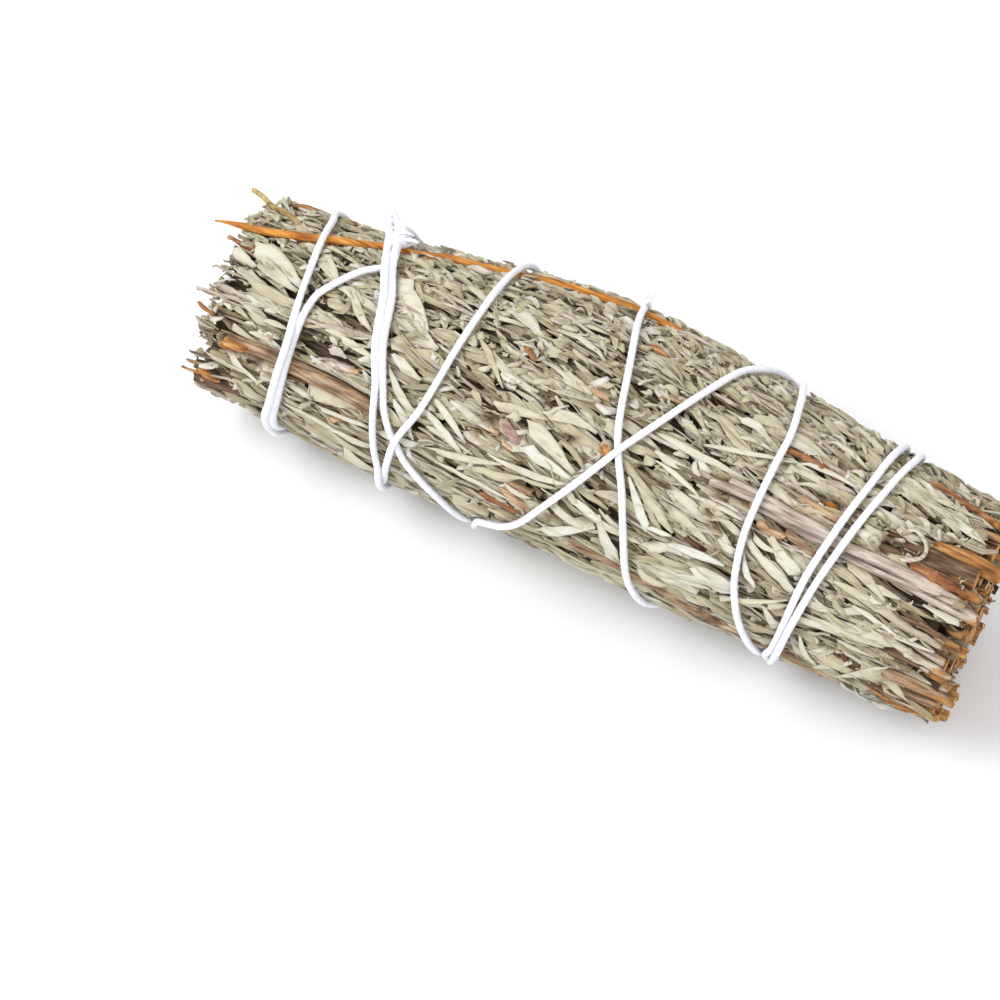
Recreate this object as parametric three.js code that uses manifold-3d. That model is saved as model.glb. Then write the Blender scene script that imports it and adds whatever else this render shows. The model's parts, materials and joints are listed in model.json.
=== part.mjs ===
// A bunch of dried sage bound with one cotton string, lying on its side. Millimetres, +Z up.
// It lies along X, with the leafy tips at -X and the cut butts at +X, and rests on Z = 0.
// An angle round the bunch is in degrees: 0 at its front (-Y), 90 on top, 180 at its back.

import * as THREE from "three";
import Module from "manifold-3d";
import { mergeVertices } from "three/addons/utils/BufferGeometryUtils.js";

const wasm = await Module();
wasm.setup();

// The whole bunch, measured over its leaves.
const halfLength = 54;
const bellyRadius = 17.1;
const tipRadius = 14;
const buttRadius = 14.7;
const pressedFlat = 0.8; // how far the belly is squashed where it lies
const endDroop = 1.2; // both ends hang a little lower than the belly
const tipBow = 1.1; // and bend a little to the front
const buttBow = 2;
const reach = 55; // the furthest stem

// The leafy sprigs that stand in a ring, each a strand of stem and matted leaves.
const sprigCount = 10;
const seamStart = 0; // angle of the first seam between two sprigs
const leafLayer = 1.9; // from a sprig's matted core to the tops of its leaves
const ringShare = 0.5; // inside of the ring, as a share of the bunch's radius
const pieceGap = 0.35; // between any two pieces
const coreTipEnd = -49;
const coreButtEnd = 51.5;

// Leaves, larger than life.
const leafLength = 13.5;
const leafWidth = 4;
const leafPitch = 5.4; // along the strand, from one leaf to the next
const tipReach = 52; // where the last leaves end

// Stems in the middle.
const innerStemCount = 6;
const innerStemShare = 0.14; // radius, as a share of the bunch's
const innerRingShare = 0.31;

// The string.
const stringRadius = 0.65;
const stringSunk = 0.1; // its centre below the tops of the leaves
const stepsPerTurn = 13;
const stringSides = 5;

const radians = THREE.MathUtils.degToRad;

// 0 at the belly, 1 at either end, smooth between.
function towardsEnd(x) {
  return (1 - Math.cos(Math.PI * Math.min(1, Math.abs(x) / halfLength))) / 2;
}

// Radius over the leaves, with slow lumps as hand-tied bunches have.
function leafRadius(x, angle) {
  const endRadius = x < 0 ? tipRadius : buttRadius;
  const even = bellyRadius - (bellyRadius - endRadius) * towardsEnd(x);
  const lumps = 0.012 * Math.sin(3 * radians(angle) + x / 13) + 0.01 * Math.sin(x / 6 + radians(angle));
  return even * (1 + lumps);
}

function axisPoint(x) {
  const share = towardsEnd(x);
  const bow = x < 0 ? tipBow : buttBow;
  return new THREE.Vector3(x, -bow * share, bellyRadius - pressedFlat - endDroop * share);
}

function outwards(angle) {
  return new THREE.Vector3(0, -Math.cos(radians(angle)), Math.sin(radians(angle)));
}

function pointOn(x, angle, radius) {
  return axisPoint(x).addScaledVector(outwards(angle), radius);
}

// A repeatable random number from 0 to 1.
function randomFrom(seed) {
  let state = seed;
  return () => {
    state = (state + 0x6d2b79f5) | 0;
    let mixed = Math.imul(state ^ (state >>> 15), 1 | state);
    mixed = (mixed + Math.imul(mixed ^ (mixed >>> 7), 61 | mixed)) ^ mixed;
    return ((mixed ^ (mixed >>> 14)) >>> 0) / 4294967296;
  };
}

// A closed solid through rings of points, all of one length, with a flat or pointed cap at each end.
function loft(rings) {
  const sides = rings[0].length;
  const points = rings.flat();
  const faces = [];
  for (let ring = 0; ring < rings.length - 1; ring++) {
    for (let side = 0; side < sides; side++) {
      const a = ring * sides + side;
      const b = ring * sides + ((side + 1) % sides);
      faces.push(a, b, b + sides, a, b + sides, a + sides);
    }
  }
  for (const [ring, order] of [[0, -1], [rings.length - 1, 1]]) {
    const middle = rings[ring].reduce((sum, p) => sum.add(p), new THREE.Vector3()).divideScalar(sides);
    const hub = points.push(middle) - 1;
    for (let side = 0; side < sides; side++) {
      const a = ring * sides + side;
      const b = ring * sides + ((side + 1) % sides);
      faces.push(hub, ...(order > 0 ? [a, b] : [b, a]));
    }
  }
  const shape = new THREE.BufferGeometry().setFromPoints(points);
  shape.setIndex(faces);
  return solidOf(shape);
}

function solidOf(shape) {
  shape.deleteAttribute("normal");
  shape.deleteAttribute("uv");
  const merged = mergeVertices(shape, 1e-4);
  const index = merged.index.array;
  const kept = [];
  for (let i = 0; i < index.length; i += 3) {
    const [a, b, c] = index.slice(i, i + 3);
    if (a !== b && b !== c && c !== a) kept.push(a, b, c);
  }
  const solid = new wasm.Manifold(
    new wasm.Mesh({
      numProp: 3,
      vertProperties: merged.attributes.position.array,
      triVerts: new Uint32Array(kept),
    }),
  );
  if (solid.volume() < 0) throw new Error("a solid is inside out");
  return solid;
}

// Rings along a route of points [x, angle, radius], each section given by sectionAt(index).
function ringsAlong(route, sectionAt) {
  const centres = route.map(([x, angle, radius]) => pointOn(x, angle, radius));
  return centres.map((centre, i) => {
    const before = centres[Math.max(0, i - 1)];
    const after = centres[Math.min(centres.length - 1, i + 1)];
    const along = after.clone().sub(before).normalize();
    const across = outwards(route[i][1]).cross(along).normalize();
    const up = along.clone().cross(across);
    return sectionAt(i).map(([a, b]) => centre.clone().addScaledVector(across, a).addScaledVector(up, b));
  });
}

function rod(route, sectionAt) {
  return loft(ringsAlong(route, sectionAt));
}

function roundSection(radius, sides, uneven = 0, turn = 0) {
  return Array.from({ length: sides }, (_, side) => {
    const around = (2 * Math.PI * (side + 0.5)) / sides;
    const r = radius * (1 + uneven * Math.sin(3 * around + turn));
    return [r * Math.cos(around), r * Math.sin(around)];
  });
}

// A slot that clears a rod and everything outside it.
function slotSection(radius) {
  const r = radius + pieceGap;
  const open = 5;
  return [[r, -0.4 * r], [r, open], [-r, open], [-r, -0.4 * r], [0, -1.35 * r]];
}

// A groove with two slanting sides, as leaves lie where a string presses them down.
function grooveSection(radius) {
  const r = radius + pieceGap;
  const slant = radians(40);
  const bottom = r / Math.sin(slant);
  const open = 2.4;
  const halfWidth = (open + bottom) * Math.tan(slant);
  return [[0, -bottom], [halfWidth, open], [-halfWidth, open]];
}

// The string: one length, wound from the knot to the butts and back. Each turn comes over the top,
// down the front and under the belly. A point is [x, angle], and the angles fall as it winds.
const windings = [
  [[-33, 138], [-31.2, 120], [-29.9, 101], [-32.5, 90], [-34.5, 80], [-36.1, 70], [-36.7, 55],
    [-36.9, 35], [-37.2, 15], [-38.3, -12]],
  [[-42.2, 142], [-40.6, 120], [-39.5, 100], [-38.4, 80], [-37.8, 64], [-37.1, 45], [-37.5, 25],
    [-38.1, 8], [-39.2, -12]],
  [[-32.4, 138], [-29.4, 100], [-26.8, 80], [-25.2, 60], [-23.2, 42], [-22, 30], [-18.7, 10],
    [-16.2, 0], [-13.8, -10], [-12, -22]],
  [[0.3, 142], [1.5, 120], [4.2, 90], [6.9, 60], [9.9, 40], [11.8, 20], [13, 0], [14.5, -20]],
  [[22.6, 140], [23.9, 120], [25.2, 92], [25.1, 52], [25.7, 30], [27.1, 10], [29, -10], [30, -22]],
  [[36.9, 138], [36.4, 100], [35.1, 70], [33.7, 40], [33.1, 15], [32.2, -10], [31.4, -22]],
  [[39.2, 130], [38.4, 100], [36.8, 70], [35.1, 40], [34, 15], [33, -10]],
  [[18.4, 138], [16, 120], [14.1, 100], [11.5, 80], [8.2, 60], [4.7, 40], [0.9, 20], [-2.7, 0],
    [-4.9, -9], [-8.6, -20]],
  [[-15.9, 142], [-15.8, 95], [-16.5, 60], [-17.6, 40], [-19.8, 20], [-21.4, -8]],
  [[-33.6, 138], [-30.4, 100], [-27.8, 80], [-26.1, 60], [-24.2, 42], [-23.6, 28], [-22.8, 8],
    [-22.2, -8]],
  [[-33.8, 138]],
];
const knotX = -33.3;
const knotAngle = 138;
const knotSize = [2.2, 1.7, 1.3];
const knotTails = [[-36.2, 132, 3.2], [-31.6, 150, 2.6]]; // end of each tail: x, angle, height

// Between two points the place x is a cubic of the angle. Its slope at a point is the weighted
// harmonic mean of the slopes on both sides, so the string never swings past its points.
function slopeAt(points, i) {
  const slope = (k) => (points[k + 1][0] - points[k][0]) / (points[k + 1][1] - points[k][1]);
  if (i === 0 || i === points.length - 1) return slope(i === 0 ? 0 : i - 1);
  if (slope(i - 1) * slope(i) <= 0) return 0;
  const before = points[i][1] - points[i - 1][1];
  const after = points[i + 1][1] - points[i][1];
  const near = 2 * after + before;
  const far = after + 2 * before;
  return (near + far) / (near / slope(i - 1) + far / slope(i));
}

function windingX(points, angle) {
  const i = Math.max(0, Math.min(points.length - 2, points.findIndex((point) => point[1] < angle) - 1));
  const gap = points[i + 1][1] - points[i][1];
  const t = Math.max(0, Math.min(1, (angle - points[i][1]) / gap));
  const ease = 3 * t ** 2 - 2 * t ** 3;
  const ends = points[i][0] * (1 - ease) + points[i + 1][0] * ease;
  const leaving = slopeAt(points, i) * gap * (t ** 3 - 2 * t ** 2 + t);
  const arriving = slopeAt(points, i + 1) * gap * (t ** 3 - t ** 2);
  return ends + leaving + arriving;
}

// Rings are set where the string's angle is, so that every turn has the same number of steps.
function stringRoute() {
  const points = windings.flatMap((turn, i) => turn.map(([x, angle]) => [x, angle - 360 * i]));
  const first = points[0][1];
  const last = points[points.length - 1][1];
  const steps = Math.round(((first - last) / 360) * stepsPerTurn);
  return Array.from({ length: steps + 1 }, (_, step) => {
    const angle = first + ((last - first) * step) / steps;
    return [step < steps ? windingX(points, angle) : points[points.length - 1][0], angle];
  });
}

function stringSolid(section) {
  const chordRise = bellyRadius * (1 - Math.cos(Math.PI / stepsPerTurn)) * 0.5;
  const lowest = stringRadius + 0.08; // of its centre line, clear of the surface it lies on
  const route = stringRoute().map(([x, angle]) => {
    const radiusHere = leafRadius(x, angle) - stringSunk + chordRise;
    const centre = axisPoint(x);
    const down = -outwards(angle).z;
    const most = down > 0 ? (centre.z - lowest) / down : Infinity;
    return [x, angle, Math.min(radiusHere, most)];
  });
  const rings = ringsAlong(route, () => section);
  const turns = [];
  for (let from = 0; from < rings.length - 1; from += stepsPerTurn) {
    turns.push(loft(rings.slice(from, from + stepsPerTurn + 1)));
  }
  return wasm.Manifold.union(turns);
}

function knotSolid() {
  const height = leafRadius(knotX, knotAngle) - stringSunk;
  const ball = new THREE.SphereGeometry(1, 8, 5).scale(...knotSize);
  ball.rotateX(radians(knotAngle - 90));
  ball.translate(...pointOn(knotX, knotAngle, height));
  const tails = knotTails.map(([x, angle, lift]) => {
    const middle = [(knotX + x) / 2, (knotAngle + angle) / 2, height + lift * 0.3];
    const route = [[knotX, knotAngle, height], middle, [x, angle, height + lift * 0.55]];
    return rod(route, (i) => roundSection(stringRadius * (1 - 0.15 * i), stringSides));
  });
  return wasm.Manifold.union([solidOf(ball), ...tails]);
}

// Bare stems and twigs that show among the leaves: route points are [x, angle].
const bark = { color: 0x8f7864, roughness: 0.9 };
const brownBark = { color: 0x7a5a40, roughness: 0.9 };
const splitWood = { color: 0xb97a3e, roughness: 0.85 };
const amberWood = { color: 0xc07a2c, roughness: 0.7 };
const bareStems = [
  { name: "grey_stem", radius: 1.1, look: bark,
    route: [[17.4, 60.5], [24.6, 63.5], [30.6, 62.5], [37.2, 61.5], [43.8, 62], [50.4, 60],
      [54, 58.5]] },
  { name: "brown_stem", radius: 1.15, look: brownBark,
    route: [[-46, 28.5], [-40.6, 30.5], [-31.4, 31], [-26.4, 28.5], [-22, 24]] },
  { name: "tip_stem", radius: 1.05, look: brownBark, route: [[-50.5, -12], [-46, -9], [-40.5, -7]] },
  { name: "edge_stem", radius: 0.6, look: brownBark,
    route: [[3, 3], [12, -1], [21, -9], [28, -16], [36, -22], [43, -25]] },
  { name: "split_stick", radius: 1.3, look: splitWood, route: [[44.5, 84], [49, 84.5], [54.5, 85]] },
  { name: "butt_stem_upper", radius: 1.1, look: brownBark, route: [[43.6, 6], [49, 7.5], [reach, 6.5]] },
  { name: "butt_stem_lower", radius: 1.1, look: brownBark, route: [[43, -13], [49, -17], [53.6, -17]] },
  { name: "orange_twig", radius: 0.55, look: amberWood,
    route: [[-53.5, 92], [-51.4, 95], [-46, 99], [-41.4, 104], [-36, 112], [-31, 119], [-25, 126],
      [-18, 130], [-10.8, 132], [-2, 133], [8, 133]] },
  { name: "gold_twig", radius: 0.5, look: amberWood,
    route: [[-54, 140], [-51.4, 130], [-49.4, 122.5], [-46.6, 117.5], [-43.2, 112]] },
  { name: "amber_strip", radius: 0.5, look: amberWood, route: [[40.8, 122], [46, 119.5], [51.6, 111]] },
];
const stemSunk = 0.95; // from the tops of the leaves down to a bare stem's own top

function stemRoute(stem) {
  return stem.route.map(([x, angle]) => [x, angle, leafRadius(x, angle) - stemSunk - stem.radius]);
}

function bareStem(stem) {
  const sides = stem.radius > 1 ? 8 : 6;
  return rod(stemRoute(stem), (i) => roundSection(stem.radius, sides, 0.08, i));
}

// The slot goes on in a straight line past both ends of its stem.
function stemSlot(stem) {
  const route = stemRoute(stem);
  const past = 2;
  const beyond = (end, next) => {
    const share = past / Math.abs(end[0] - next[0]);
    return end.map((value, i) => value + (value - next[i]) * share);
  };
  const first = beyond(route[0], route[1]);
  const last = beyond(route.at(-1), route.at(-2));
  return rod([first, ...route, last], () => slotSection(stem.radius));
}

// A seam between two sprigs wanders a little along the bunch.
function seamAngle(seam, x) {
  const turn = 360 / sprigCount;
  return seamStart + turn * seam + 2.5 * Math.sin(x / 15 + 2.1 * (seam % sprigCount));
}

// One leaf: its root is sunk in the strand and its tip is free. At its widest it has a ridge, two
// edges and a keel: [share of length, half width share, ridge height, edge height, keel height].
const leafOutline = [[0.5, 0.5, 1.6, 0.45, -0.5]];
const leafRoot = -0.4;
const leafTip = 1.8;

function leaf({ x, angle, length, width, yaw, towards, base }) {
  const place = (along, across, height) => {
    const px = x + towards * (along * Math.cos(yaw) + across * Math.sin(yaw));
    const side = along * Math.sin(yaw) - across * Math.cos(yaw);
    const at = angle + THREE.MathUtils.radToDeg(side / base(x, angle));
    return pointOn(px, at, base(px, at) + height);
  };
  const root = place(0, 0, leafRoot);
  const tip = place(length, 0, leafTip);
  const rings = leafOutline.map(([share, half, ridge, edge, keel]) => [
    place(share * length, half * width, edge),
    place(share * length, 0, ridge),
    place(share * length, -half * width, edge),
    place(share * length, 0, keel),
  ]);
  const ringsOut = [Array(4).fill(root), ...rings, Array(4).fill(tip)];
  const facing = towards < 0 ? ringsOut : ringsOut.map((ring) => [...ring].reverse());
  return loft(facing.map((ring) => ring.map((p) => p.clone())));
}

function coreRadius(x, angle) {
  return leafRadius(x, angle) - leafLayer;
}

// Where the leaves would reach through the surface that the bunch lies on, the core is flat on it.
function corePoint(x, angle, shoulder) {
  const leafTop = pointOn(x, angle, leafRadius(x, angle));
  if (leafTop.z < 0) {
    const down = -outwards(angle).z;
    return pointOn(x, angle, axisPoint(x).z / down);
  }
  return pointOn(x, angle, coreRadius(x, angle) - shoulder);
}

function sprigCore(sprig, buttEnd) {
  const stations = 9;
  const shoulder = 0.5;
  const rings = [];
  for (let i = 0; i <= stations; i++) {
    const x = coreTipEnd + ((buttEnd - coreTipEnd) * i) / stations;
    const inner = ringShare * leafRadius(x, 0);
    const outer = coreRadius(x, 0);
    const edge = (seam, side, radius) =>
      seamAngle(seam, x) + side * THREE.MathUtils.radToDeg(pieceGap / 2 / radius);
    const [low, high] = [edge(sprig, 1, outer), edge(sprig + 1, -1, outer)];
    const [innerLow, innerHigh] = [edge(sprig, 1, inner), edge(sprig + 1, -1, inner)];
    const third = (high - low) / 3;
    rings.push([
      corePoint(x, low, shoulder),
      corePoint(x, low + third, 0),
      corePoint(x, high - third, 0),
      corePoint(x, high, shoulder),
      pointOn(x, innerHigh, inner),
      pointOn(x, innerLow, inner),
    ]);
  }
  return loft(rings.map((ring) => ring.reverse()));
}

// Leaves from butt to tip, by turns on either side and in the middle, between the strand's own seams.
function sprigLeaves(sprig, random) {
  const leaves = [];
  const spread = (size) => size * (random() - 0.5);
  const count = Math.floor((coreButtEnd - 3 - coreTipEnd) / leafPitch);
  for (let i = 0; i <= count; i++) {
    const x = coreButtEnd - 2 - leafPitch * i + spread(2.5);
    const length = Math.min(leafLength * (1 + spread(0.35)), x + tipReach - 3 * random());
    const width = leafWidth * (1 + spread(0.3));
    const towards = i > 1 && random() < 0.15 && x < coreButtEnd - length ? 1 : -1;
    if (length < leafLength / 2) continue;
    const outer = coreRadius(x, 0);
    const half = THREE.MathUtils.radToDeg((width * 0.5 + pieceGap) / outer);
    const lane = [0.04, 0.96, 0.5][i % 3] + spread(0.12);
    const laneAngle = (at) => {
      const low = seamAngle(sprig, at) + half;
      const high = seamAngle(sprig + 1, at) - half;
      return low + (high - low) * lane;
    };
    const angle = laneAngle(x);
    const lean = laneAngle(x + towards * length) + spread(7) - angle;
    const yaw = Math.asin(THREE.MathUtils.clamp((radians(lean) * outer) / length, -0.3, 0.3));
    if (pointOn(x, angle, leafRadius(x, angle)).z < 0.1) continue;
    leaves.push(leaf({ x, angle, length, width, yaw, towards, base: coreRadius }));
  }
  return leaves;
}

// The leafy tips that stick out of the strand's end, and the stem that shows at its butt.
function sprigEnds(sprig, random, buttEnd) {
  const middle = (x) => (seamAngle(sprig, x) + seamAngle(sprig + 1, x)) / 2;
  const inside = (depth) => (x, angle) => coreRadius(x, angle) - depth;
  const tips = [-1, 1].map((side) =>
    leaf({
      x: coreTipEnd + 5,
      angle: middle(coreTipEnd) + side * 6.2,
      length: 6.2 + 2 * random(),
      width: 2.7,
      yaw: 0,
      towards: -1,
      base: inside(random() * 1.5 + 0.6),
    }),
  );
  const ring = 0.72 * buttRadius;
  const stubEnd = buttEnd + 0.6 + 1.6 * random();
  const route = [[buttEnd - 8, middle(buttEnd - 8), ring], [stubEnd, middle(buttEnd), ring]];
  return [...tips, rod(route, () => roundSection(1.2 + 0.5 * random(), 7))];
}

function largestPart(solid) {
  return solid.decompose().sort((a, b) => b.volume() - a.volume())[0];
}

const stringCutter = stringSolid(grooveSection(stringRadius));
const knotCutter = solidOf(
  new THREE.SphereGeometry(1, 8, 5)
    .scale(...knotSize.map((size) => size + pieceGap))
    .rotateX(radians(knotAngle - 90))
    .translate(...pointOn(knotX, knotAngle, leafRadius(knotX, knotAngle) - stringSunk)),
);
const slots = wasm.Manifold.union(bareStems.map(stemSlot));
const aboveSurface = solidOf(
  new THREE.BoxGeometry(4 * halfLength, 4 * halfLength, 4 * halfLength).translate(0, 0, 2 * halfLength),
);

function leafySprig(sprig) {
  const random = randomFrom(101 + sprig);
  const buttEnd = coreButtEnd - 2.5 * random();
  const grown = wasm.Manifold.union([
    sprigCore(sprig, buttEnd),
    ...sprigLeaves(sprig, random),
    ...sprigEnds(sprig, random, buttEnd),
  ]);
  const cut = grown.subtract(stringCutter).subtract(knotCutter).subtract(slots).intersect(aboveSurface);
  return largestPart(cut.simplify(0.12));
}

// A straight stem inside the ring, with a tuft of leaves past its tip end.
function innerStem(index) {
  const random = randomFrom(501 + index);
  const central = index === innerStemCount;
  const share = central ? 0 : innerRingShare;
  const angle = (360 / innerStemCount) * index + 20;
  const stations = 5;
  const from = -48.5 - random();
  const to = 51 + 3 * random();
  const route = Array.from({ length: stations + 1 }, (_, i) => {
    const x = from + ((to - from) * i) / stations;
    return [x, angle, share * leafRadius(x, 0)];
  });
  const thickness = (i) => innerStemShare * leafRadius(route[i][0], 0);
  const stem = rod(route, (i) => roundSection(thickness(i), 7, 0.04, i + index));
  const [x, , radius] = route[0];
  const blades = [0, 1].map((turned) => {
    const tipEnd = x - 2.6 - random();
    const tipRoute = [[x + 2, angle, radius], [x - 1.5, angle, radius], [tipEnd, angle + 3, radius]];
    const [wide, thick] = turned ? [0.5, 1.5] : [1.5, 0.5];
    const corners = [[wide, 0], [0, thick], [-wide, 0], [0, -thick]];
    const sizes = [0.8, 1, 0.1];
    return rod(tipRoute, (i) => corners.map((corner) => corner.map((value) => value * sizes[i])));
  });
  return largestPart(wasm.Manifold.union([stem, ...blades]));
}

// The finished pieces.
const bunch = new THREE.Group();
bunch.name = "sage_bunch";

function addPiece(name, solid, look) {
  const { vertProperties, triVerts } = solid.getMesh();
  const shape = new THREE.BufferGeometry();
  shape.setAttribute("position", new THREE.BufferAttribute(new Float32Array(vertProperties), 3));
  shape.setIndex(new THREE.BufferAttribute(new Uint32Array(triVerts), 1));
  shape.computeVertexNormals();
  const piece = new THREE.Mesh(shape, new THREE.MeshStandardMaterial({ metalness: 0, ...look }));
  piece.name = name;
  bunch.add(piece);
}

const number = (n) => String(n + 1).padStart(2, "0");
const sageGrey = { color: 0xb9b594, roughness: 0.95 };
const cotton = { color: 0xf2f2f4, roughness: 0.9 };

for (let sprig = 0; sprig < sprigCount; sprig++) {
  addPiece(`leafy_sprig_${number(sprig)}`, leafySprig(sprig), sageGrey);
}
for (let index = 0; index <= innerStemCount; index++) {
  addPiece(`inner_stem_${number(index)}`, innerStem(index), bark);
}
for (const stem of bareStems) {
  addPiece(stem.name, bareStem(stem), stem.look);
}
const windingsSolid = stringSolid(roundSection(stringRadius, stringSides));
addPiece("string", wasm.Manifold.union([windingsSolid, knotSolid()]).simplify(0.06), cotton);

export default bunch;
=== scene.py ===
import json
import math
import bmesh
import bpy
import numpy as np
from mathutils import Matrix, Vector, kdtree

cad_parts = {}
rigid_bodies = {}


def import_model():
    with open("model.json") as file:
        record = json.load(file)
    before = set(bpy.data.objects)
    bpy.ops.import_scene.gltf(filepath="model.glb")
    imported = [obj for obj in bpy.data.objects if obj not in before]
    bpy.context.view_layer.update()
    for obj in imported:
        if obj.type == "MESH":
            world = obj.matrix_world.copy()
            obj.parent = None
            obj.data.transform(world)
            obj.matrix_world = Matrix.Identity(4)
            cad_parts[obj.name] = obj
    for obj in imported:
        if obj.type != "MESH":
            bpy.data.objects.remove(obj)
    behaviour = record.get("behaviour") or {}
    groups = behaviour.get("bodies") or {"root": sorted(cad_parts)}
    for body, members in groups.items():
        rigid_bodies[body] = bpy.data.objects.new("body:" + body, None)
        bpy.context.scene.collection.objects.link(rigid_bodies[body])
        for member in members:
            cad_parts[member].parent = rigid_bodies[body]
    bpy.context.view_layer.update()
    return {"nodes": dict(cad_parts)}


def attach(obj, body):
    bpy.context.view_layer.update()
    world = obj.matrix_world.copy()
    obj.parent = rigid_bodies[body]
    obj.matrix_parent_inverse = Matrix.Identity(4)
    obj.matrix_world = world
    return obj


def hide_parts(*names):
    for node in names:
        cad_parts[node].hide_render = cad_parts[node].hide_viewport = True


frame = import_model()
print("frame: %d solids" % len(frame["nodes"]))

mm = 0.001

# Lengths in millimetres. x runs from the leafy tips (-) to the cut butts (+). An angle round the
# bundle is in degrees, 0 in front, 90 on top, 180 behind. A height is measured from the leaf tops.
bundle = {
    "halfLength": 54.0,
    "bellyRadius": 17.1,
    "tipRadius": 14.0,
    "buttRadius": 14.7,
    "pressedFlat": 0.8,
    "endDroop": 1.2,
    "tipBow": 1.1,
    "buttBow": 2.0,
    "threeLobes": 0.012,  # how far the outline swells, as shares of the radius
    "oneLobe": 0.01,
    "seamWander": 2.5,
    "sprigs": 10,
    "seamStart": 0.0,
}


def towardsEnd(x):
    return (1 - np.cos(np.pi * np.minimum(1.0, np.abs(x) / bundle["halfLength"]))) / 2


def leafRadius(x, angle):
    endRadius = np.where(np.asarray(x) < 0, bundle["tipRadius"], bundle["buttRadius"])
    even = bundle["bellyRadius"] - (bundle["bellyRadius"] - endRadius) * towardsEnd(x)
    turn = np.radians(angle)
    lumps = bundle["threeLobes"] * np.sin(3 * turn + x / 13) + bundle["oneLobe"] * np.sin(x / 6 + turn)
    return even * (1 + lumps)


def axisPoint(x):
    share = towardsEnd(x)
    bow = np.where(np.asarray(x) < 0, bundle["tipBow"], bundle["buttBow"])
    up = bundle["bellyRadius"] - bundle["pressedFlat"] - bundle["endDroop"] * share
    return np.stack(np.broadcast_arrays(x, -bow * share, up), axis=-1)


# Straight out from the bundle's middle line.
def outwards(turn):
    return np.stack([np.zeros_like(turn), -np.cos(turn), np.sin(turn)], axis=-1)


# Leaf tips end bluntly: what reaches past the ends is pushed back between them.
def withinEnds(x, start=47.8, room=3.6, longerAtButts=3.2):
    start = np.where(np.asarray(x) > 0, start + longerAtButts, start)
    over = np.abs(x) - start
    blunt = start + room * (1 - np.exp(-np.maximum(over, 0) / room))
    return np.where(over > 0, np.sign(x) * blunt, x)


def onBundle(x, angle, height):
    x, angle, height = np.broadcast_arrays(np.asarray(x, float), angle, height)
    radius = leafRadius(x, angle) + height
    return axisPoint(x) + radius[..., None] * outwards(np.radians(angle))


# A stem or string of this radius lies on the floor and not in it.
def offFloor(line, radius, gap=0.05):
    line[:, 2] = np.maximum(line[:, 2], radius + gap)
    return line


def seamAngle(seam, x):
    sprigs = bundle["sprigs"]
    wander = bundle["seamWander"] * np.sin(x / 15 + 2.1 * (seam % sprigs))
    return bundle["seamStart"] + 360 / sprigs * seam + wander


# Nothing sinks through the surface it lies on: the last half millimetre is pressed together.
def aboveFloor(z, lowest=0.03, soft=0.5):
    pressed = lowest + (soft - lowest) * np.exp(np.minimum(0, z - soft) / (soft - lowest))
    return np.where(z < soft, pressed, z)


string = {
    "radius": 0.65,
    "size": 0.78,  # as drawn, of that radius
    # Where two turns lie against each other they are drawn fuller: turn, from angle, to angle.
    "fuller": {"size": 0.96, "at": [(0, -20, 58), (1, -20, 58), (2, 48, 160), (9, 48, 160)]},
    "sunk": 0.1,  # its centre below the leaf tops
    "step": 0.34,
    "plies": 3,
    "plyPitch": 3.4,
    "plyDepth": 0.035,
    "crossingLift": 0.7,
    "crossingDip": 0.35,
    "sizeUneven": 0.1,
    "unevenness": 0.12,
    "ownLength": 12,  # nearer than this along the string is not a crossing
    "besideTurn": 0.15,  # a turn this far from another still lifts over it
    "samples": 6000,
    # Over how many steps each of these is smoothed.
    "blend": {"lift": 13, "unevenness": 35, "size": 15, "sizeUneven": 31},
}


# Every turn comes over the top, down the front and under the belly: (x, angle).
windings = [
    [(-33, 138), (-31.2, 120), (-29.9, 101), (-32.5, 90), (-34.5, 80), (-36.1, 70), (-36.7, 55),
     (-36.9, 35), (-37.2, 15), (-38.3, -12)],
    [(-42.2, 142), (-40.6, 120), (-39.5, 100), (-38.4, 80), (-37.8, 64), (-37.1, 45), (-37.5, 25),
     (-38.1, 8), (-39.2, -12)],
    [(-32.4, 138), (-29.4, 100), (-26.8, 80), (-25.2, 60), (-23.2, 42), (-22, 30), (-18.7, 10),
     (-16.2, 0), (-13.8, -10), (-12, -22)],
    [(0.3, 142), (1.5, 120), (4.2, 90), (6.9, 60), (9.9, 40), (11.8, 20), (13, 0), (14.5, -20)],
    [(22.6, 140), (23.9, 120), (25.2, 92), (25.1, 52), (25.7, 30), (27.1, 10), (29, -10), (30, -22)],
    [(36.9, 138), (36.4, 100), (35.1, 70), (33.7, 40), (33.1, 15), (32.2, -10), (31.4, -22)],
    [(39.2, 130), (38.4, 100), (36.8, 70), (35.1, 40), (34, 15), (33, -10)],
    [(18.4, 138), (16, 120), (14.1, 100), (11.5, 80), (8.2, 60), (4.7, 40), (0.9, 20), (-2.7, 0),
     (-4.9, -9), (-8.6, -20)],
    [(-15.9, 142), (-15.8, 95), (-16.5, 60), (-17.6, 40), (-19.8, 20), (-21.4, -8)],
    [(-33.6, 138), (-30.4, 100), (-27.8, 80), (-26.1, 60), (-24.2, 42), (-23.6, 28), (-22.8, 8),
     (-22.2, -8)],
    [(-33.8, 138)],
]


# A smooth curve through the points, evenly shared between them.
def splineThrough(points, count):
    points = np.asarray(points, float)
    last = len(points) - 1
    place = np.linspace(0, last, count)
    at = np.minimum(place.astype(int), last - 1)
    t = (place - at)[:, None]
    p0, p1 = points[np.maximum(at - 1, 0)], points[at]
    p2, p3 = points[at + 1], points[np.minimum(at + 2, last)]
    v0, v1 = (p2 - p0) / 2, (p3 - p1) / 2
    return (
        (2 * p1 - 2 * p2 + v0 + v1) * t**3 + (-3 * p1 + 3 * p2 - 2 * v0 - v1) * t**2 + v0 * t + p1
    )


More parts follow.
